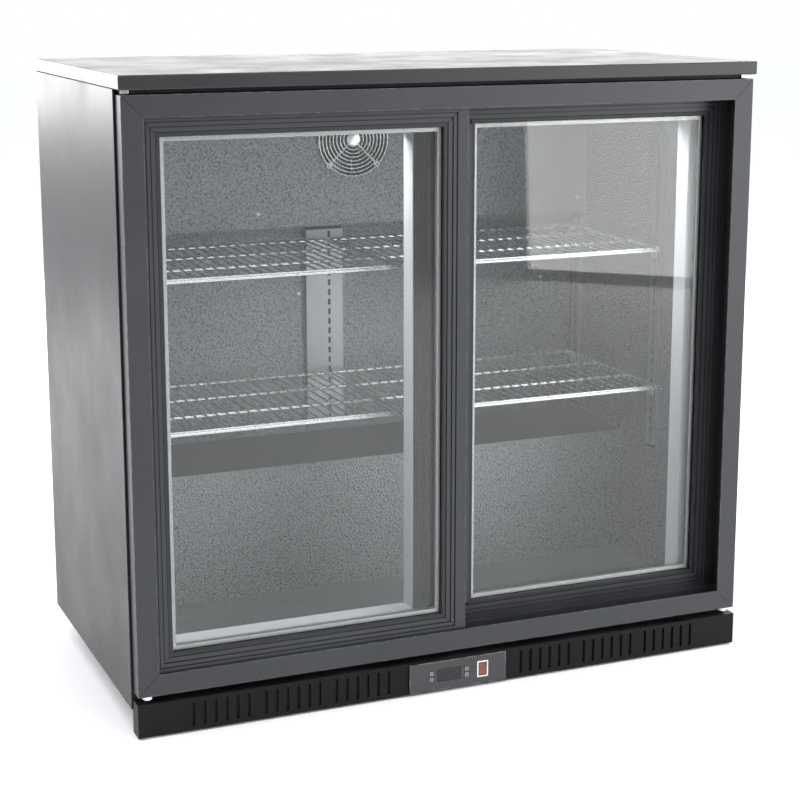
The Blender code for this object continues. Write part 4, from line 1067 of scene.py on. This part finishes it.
spoke_y = ring_y + GUARD_WIRE_R + GUARD_SPOKE_R - 0.0004
for number in range(4):
    angle = pi / 4 + number * pi / 2
    out = Vector((cos(angle), 0, sin(angle)))
    hub = Vector((guard_middle.x, spoke_y, guard_middle.z))
    start, end = hub + out * SPOKE_START_R, hub + out * GUARD_OUTER_R
    wires.append(rod("spoke", start, end, GUARD_SPOKE_R))
    middle = hub + out * (GUARD_OUTER_R - 0.0005)
    wires.append(wire_ring("eye", middle, GUARD_EYE_R, GUARD_SPOKE_R, 20))
hub_cap = cylinder("hub", ring_middle, HUB_R, 0.0012, 24, faces_front)
select_faces(hub_cap, lambda face: face.normal.y < -0.9)
bpy.ops.mesh.inset(thickness=0.0016, depth=0.0004)
bpy.ops.object.mode_set(mode="OBJECT")
wires.append(hub_cap)
bright_wire = zinc_finish("bright_wire", (0.86, 0.87, 0.88), 0.22)
guard = join_pieces("fan_guard_wires", wires)
fit_piece(guard, bright_wire, "cabinet", ("fan_guard",), 50)


# ---- Shelf supports -----------------------------------------------------------------------
# Rolled steel strips with a ladder of narrow slots are screwed to the walls, two on each
# side and a double one at the rear.

SLOT_STEP = 0.015
SLOT_LONG = 0.0095
SLOT_WIDE = 0.0042
STRIP_T = 0.0012
STRIP_WALL_AIR = 0.0003
# Where the black plate of painted shade sits behind a strip's face, and how thick it is.
SHADE_PLATE_BEHIND = 0.0022
SHADE_PLATE_T = 0.0010


def repeat(made, count, step):
    """Repeats a piece along a line, merging the ends that meet."""
    row = made.modifiers.new("row", "ARRAY")
    row.use_relative_offset = False
    row.use_constant_offset = True
    row.constant_offset_displace = step
    row.count = count
    row.use_merge_vertices = True
    row.merge_threshold = 0.00001
    finish_mesh(made)


def slotted_strip(name, face_low, face_high, outward, depth, slot_rows):
    """A shallow channel with slots down its face, open towards the wall behind it."""
    low, high = Vector(face_low), Vector(face_high)
    across = Vector((0, 1, 0)) if abs(outward.x) > 0.5 else Vector((1, 0, 0))
    width = abs((high - low).dot(across))
    count = int((high.z - low.z) / SLOT_STEP)
    start = low.z + (high.z - low.z - count * SLOT_STEP) / 2
    ladders = []
    step_across = width / len(slot_rows)
    for number, has_slots in enumerate(slot_rows):
        cell = add_primitive(bpy.ops.mesh.primitive_plane_add, "cell", size=1)
        select_faces(cell, lambda face: True)
        bpy.ops.transform.resize(value=(step_across, SLOT_STEP, 1), center_override=(0, 0, 0))
        if has_slots:
            bpy.ops.mesh.inset(thickness=0.001)
            bpy.ops.transform.resize(
                value=(SLOT_WIDE / (step_across - 0.002), SLOT_LONG / (SLOT_STEP - 0.002), 1),
                center_override=(0, 0, 0),
            )
            bpy.ops.mesh.delete(type="FACE")
        bpy.ops.object.mode_set(mode="OBJECT")
        bpy.ops.transform.translate(value=(step_across * (number + 0.5) - width / 2, 0, 0))
        bpy.ops.object.transform_apply(location=True, rotation=True, scale=True)
        repeat(cell, count, (0, SLOT_STEP, 0))
        ladders.append(cell)
    made = join_pieces(name, ladders)
    bpy.ops.object.mode_set(mode="EDIT")
    bpy.ops.mesh.select_mode(type="VERT")
    bpy.ops.mesh.select_all(action="SELECT")
    bpy.ops.mesh.remove_doubles(threshold=0.00001)
    bpy.ops.object.mode_set(mode="OBJECT")
    up = Vector((0, 0, 1))
    turn = Matrix((across, up, across.cross(up))).transposed().to_4x4()
    middle = (low + high) / 2
    turn.translation = Vector((middle.x, middle.y, start + SLOT_STEP / 2))
    made.matrix_world = turn
    bpy.ops.object.transform_apply(location=True, rotation=True, scale=True)
    if made.data.polygons[0].normal.dot(outward) < 0:
        bpy.ops.object.mode_set(mode="EDIT")
        bpy.ops.mesh.select_all(action="SELECT")
        bpy.ops.mesh.flip_normals()
        bpy.ops.object.mode_set(mode="OBJECT")
    wall = made.modifiers.new("sheet", "SOLIDIFY")
    wall.thickness = STRIP_T
    wall.offset = -1
    finish_mesh(made)
    flanges = [made]
    for end in (low, high):
        edge = middle + across * (end - middle).dot(across)
        inner = edge - across * STRIP_T * (1 if (end - middle).dot(across) > 0 else -1)
        foot = inner - outward * depth
        front = edge - outward * 0.0001
        flanges.append(
            block(
                "flange",
                (front.x, edge.y, start),
                (foot.x, foot.y, start + count * SLOT_STEP),
                0.0002,
                1,
            )
        )
    return join_pieces(name, flanges)


def slot_shade_plate(name, low, high, outward):
    """A thin black plate behind a strip's slots: painted shade for the dark hollow there."""
    face = Vector((high.x if outward.x > 0 else low.x, low.y, 0))
    near = face - outward * SHADE_PLATE_BEHIND
    far = near - outward * SHADE_PLATE_T
    if abs(outward.x) > 0.5:
        near.y, far.y = low.y + 0.002, high.y - 0.002
    else:
        near.x, far.x = low.x + 0.002, high.x - 0.002
    near.z, far.z = low.z + 0.003, high.z - 0.003
    shade_plate = block(name, near, far, 0.0002, 1)
    fit_piece(shade_plate, black_channel, "cabinet")


strip_steel = zinc_finish("strip_steel", (0.36, 0.365, 0.375), 0.38)
for side_name, side in (("left", -1), ("right", 1)):
    for end in ("front", "rear"):
        node = f"pilaster_{side_name}_{end}"
        low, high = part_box(node)
        face_x = high.x if side < 0 else low.x
        ladder = slotted_strip(
            f"shelf_strip_{side_name}_{end}",
            (face_x, low.y, low.z),
            (face_x, high.y, high.z),
            Vector((-side, 0, 0)),
            high.x - low.x - STRIP_WALL_AIR,
            (False, True, False),
        )
        fit_piece(ladder, strip_steel, "cabinet", (node,))
        slot_shade_plate(f"shelf_strip_tape_{side_name}_{end}", low, high, Vector((-side, 0, 0)))
low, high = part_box("pilaster_rear_centre")
ladder = slotted_strip(
    "shelf_strip_rear_centre",
    (low.x, low.y, low.z),
    (high.x, low.y, high.z),
    Vector((0, -1, 0)),
    high.y - low.y - STRIP_WALL_AIR,
    (False, False, True, False),
)
fit_piece(ladder, strip_steel, "cabinet", ("pilaster_rear_centre",))
slot_shade_plate("shelf_strip_tape_rear_centre", low, high, Vector((0, -1, 0)))


# ---- Shelves ------------------------------------------------------------------------------
# Four plated wire shelves: thin wires side by side welded across four stout rods. Bent zinc
# clips hook into the slots and carry the corners.

WIRE_R = 0.0014
ROD_R = 0.0025
WIRE_PITCH = 0.0155
ROD_PLACES = (0.0, 0.33, 0.67, 1.0)
ROD_END_INSET = 0.001
CLIP_T = 0.0012
CLIP_HALF_W = 0.0060
CLIP_REACH = 0.013
CLIP_TAB_H = 0.014

for level in ("lower", "upper"):
    for half in ("left", "right"):
        node = f"shelf_{level}_{half}"
        low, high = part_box(node)
        wire_z = high.z - WIRE_R
        rod_z = wire_z - WIRE_R - ROD_R + 0.0004
        count = int((high.x - low.x - 2 * WIRE_R) / WIRE_PITCH) + 1
        first = (low.x + high.x) / 2 - WIRE_PITCH * (count - 1) / 2
        front_y, back_y = low.y + ROD_R, high.y - ROD_R
        wire = rod("wire", (first, front_y, wire_z), (first, back_y, wire_z), WIRE_R)
        repeat(wire, count, (WIRE_PITCH, 0, 0))
        parts = [wire]
        left_x, right_x = low.x + ROD_END_INSET, high.x - ROD_END_INSET
        for share in ROD_PLACES:
            y = front_y + (high.y - low.y - 2 * ROD_R) * share
            parts.append(rod("rod", (left_x, y, rod_z), (right_x, y, rod_z), ROD_R, 12))
        lip_y, lip_z = front_y - 0.0008, wire_z + 0.0002
        parts.append(rod("lip", (left_x, lip_y, lip_z), (right_x, lip_y, lip_z), WIRE_R))
        for x in (low.x + ROD_R, high.x - ROD_R):
            parts.append(rod("side", (x, front_y, rod_z), (x, back_y, rod_z), ROD_R * 0.85, 12))
        wires = join_pieces(f"{node}_wires", parts)
        fit_piece(wires, bright_wire, "cabinet", (node,), 50)

        clips = []
        outer = -1 if half == "left" else 1
        for end in ("front", "rear"):
            strip_low, strip_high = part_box(f"pilaster_{half}_{end}")
            y = (strip_low.y + strip_high.y) / 2
            face = strip_high.x if half == "left" else strip_low.x
            top = rod_z - ROD_R - 0.0002
            clips.append(
                block(
                    "ledge",
                    (face, y - CLIP_HALF_W, top - CLIP_T),
                    (face - outer * CLIP_REACH, y + CLIP_HALF_W, top),
                    0.0003,
                )
            )
            clips.append(
                block(
                    "tab",
                    (face, y - CLIP_HALF_W, top - CLIP_TAB_H),
                    (face - outer * CLIP_T, y + CLIP_HALF_W, top - CLIP_T + 0.0002),
                    0.0003,
                )
            )
        fit_piece(join_pieces(f"{node}_clips", clips), zinc, "cabinet")


# ---- Kick grille --------------------------------------------------------------------------
# One black moulded strip below the doors, slotted so that the condenser can breathe, with a
# thin black dust filter behind the slots.

FILTER_SETBACK = 0.0050
FILTER_T = 0.0015
FILTER_END_INSET = 0.012
FILTER_EDGE_INSET = 0.004
PANEL_GAP = 0.006

kick_plastic = moulded("kick_plastic", (0.0045, 0.0045, 0.005), 0.46, 1300.0, 0.10, 0.06, 0.16)
paint_node("kick_grille", kick_plastic)
kick_low, kick_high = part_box("kick_grille")
panel_low, panel_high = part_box("control_panel")
filter_y = kick_low.y + FILTER_SETBACK
for name, near, far in (
    ("kick_filter_left", kick_low.x + FILTER_END_INSET, panel_low.x - PANEL_GAP),
    ("kick_filter_right", panel_high.x + PANEL_GAP, kick_high.x - FILTER_END_INSET),
):
    mat = block(
        name,
        (near, filter_y, kick_low.z + FILTER_EDGE_INSET),
        (far, filter_y + FILTER_T, kick_high.z - FILTER_EDGE_INSET),
    )
    fit_piece(mat, black_channel, "cabinet")
low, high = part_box("base_pan")
pan_coat = coated_steel("pan_coat", low, high, (0.012, 0.012, 0.013), (0.06, 0.06, 0.06), 0.5)
paint_node("base_pan", pan_coat)


# ---- Control panel ------------------------------------------------------------------------
# A moulded panel snaps into the grille. It carries a smoked display window, four small keys
# and a red lit rocker switch in a white surround.

PANEL_COLOUR = (0.030, 0.031, 0.034)
KEY_EDGE = 0.0007
KEY_AIR = 0.0003
SURROUND_W = 0.0018
SURROUND_AIR = 0.0003

panel, tree, shader, place = make_material("panel_plastic", PANEL_COLOUR, 0.33)
grain = use_group(tree, grain_group, Place=place, Scale=1500.0)
rubbed = use_group(
    tree,
    edge_rub,
    Place=place,
    Low=tuple(panel_low),
    High=tuple(panel_high),
    Width=0.0011,
    Breaks=60.0,
)
tree.links.new(
    mix_colours(tree, rubbed["Mask"], PANEL_COLOUR, (0.16, 0.165, 0.17)),
    shader.inputs["Base Color"],
)
tree.links.new(ramp_node(tree, grain["Gloss"], 0.3, 0.7, 0.27, 0.40), shader.inputs["Roughness"])
bump_node(tree, shader, grain["Height"], 0.08, 0.0001)
paint_node("control_panel", panel)

display, tree, shader, place = make_material("smoked_window", (0.004, 0.004, 0.005), 0.10)
haze = noise_node(tree, place, 160.0, 3, 0.6)
mottle(tree, shader, haze, (0.003, 0.003, 0.004), (0.010, 0.010, 0.012), 0.08, 0.16)
paint_node("thermostat_display", display)

key_plastic = clean_plastic("key_plastic", (0.05, 0.05, 0.053), 0.4)
key_rim = clean_plastic("key_rim_print", (0.33, 0.34, 0.35), 0.4)
for row in ("upper", "lower"):
    for column in ("left", "right"):
        node = f"button_{row}_{column}"
        paint_node(node, key_plastic)
        low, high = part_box(node)
        rim = ring(
            f"{node}_rim",
            (low.x + KEY_AIR, low.y - 0.00025, low.z + KEY_AIR),
            (high.x - KEY_AIR, low.y + 0.0002, high.z - KEY_AIR),
            KEY_EDGE,
            0,
        )
        fit_piece(rim, key_rim, node)

rocker_low, rocker_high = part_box("rocker_switch")
lens, tree, shader, place = make_material("rocker_lens", (0.16, 0.035, 0.028), 0.30)
streak = noise_node(tree, place, 220.0, 3, 0.6)
mottle(tree, shader, streak, (0.14, 0.032, 0.025), (0.21, 0.06, 0.045), 0.20, 0.32)
bump_node(tree, shader, streak, 0.08, 0.0001)
paint_node("rocker_switch", lens)
panel_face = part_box("thermostat_display")[0].y
surround_reach = SURROUND_W + SURROUND_AIR
surround = ring(
    "rocker_surround",
    (rocker_low.x - surround_reach, panel_face - 0.0010, rocker_low.z - surround_reach),
    (rocker_high.x + surround_reach, panel_face + 0.0001, rocker_high.z + surround_reach),
    SURROUND_W,
    0.0003,
)
surround_plastic = clean_plastic("surround_plastic", (0.62, 0.61, 0.58), 0.4)
fit_piece(surround, surround_plastic, "cabinet")
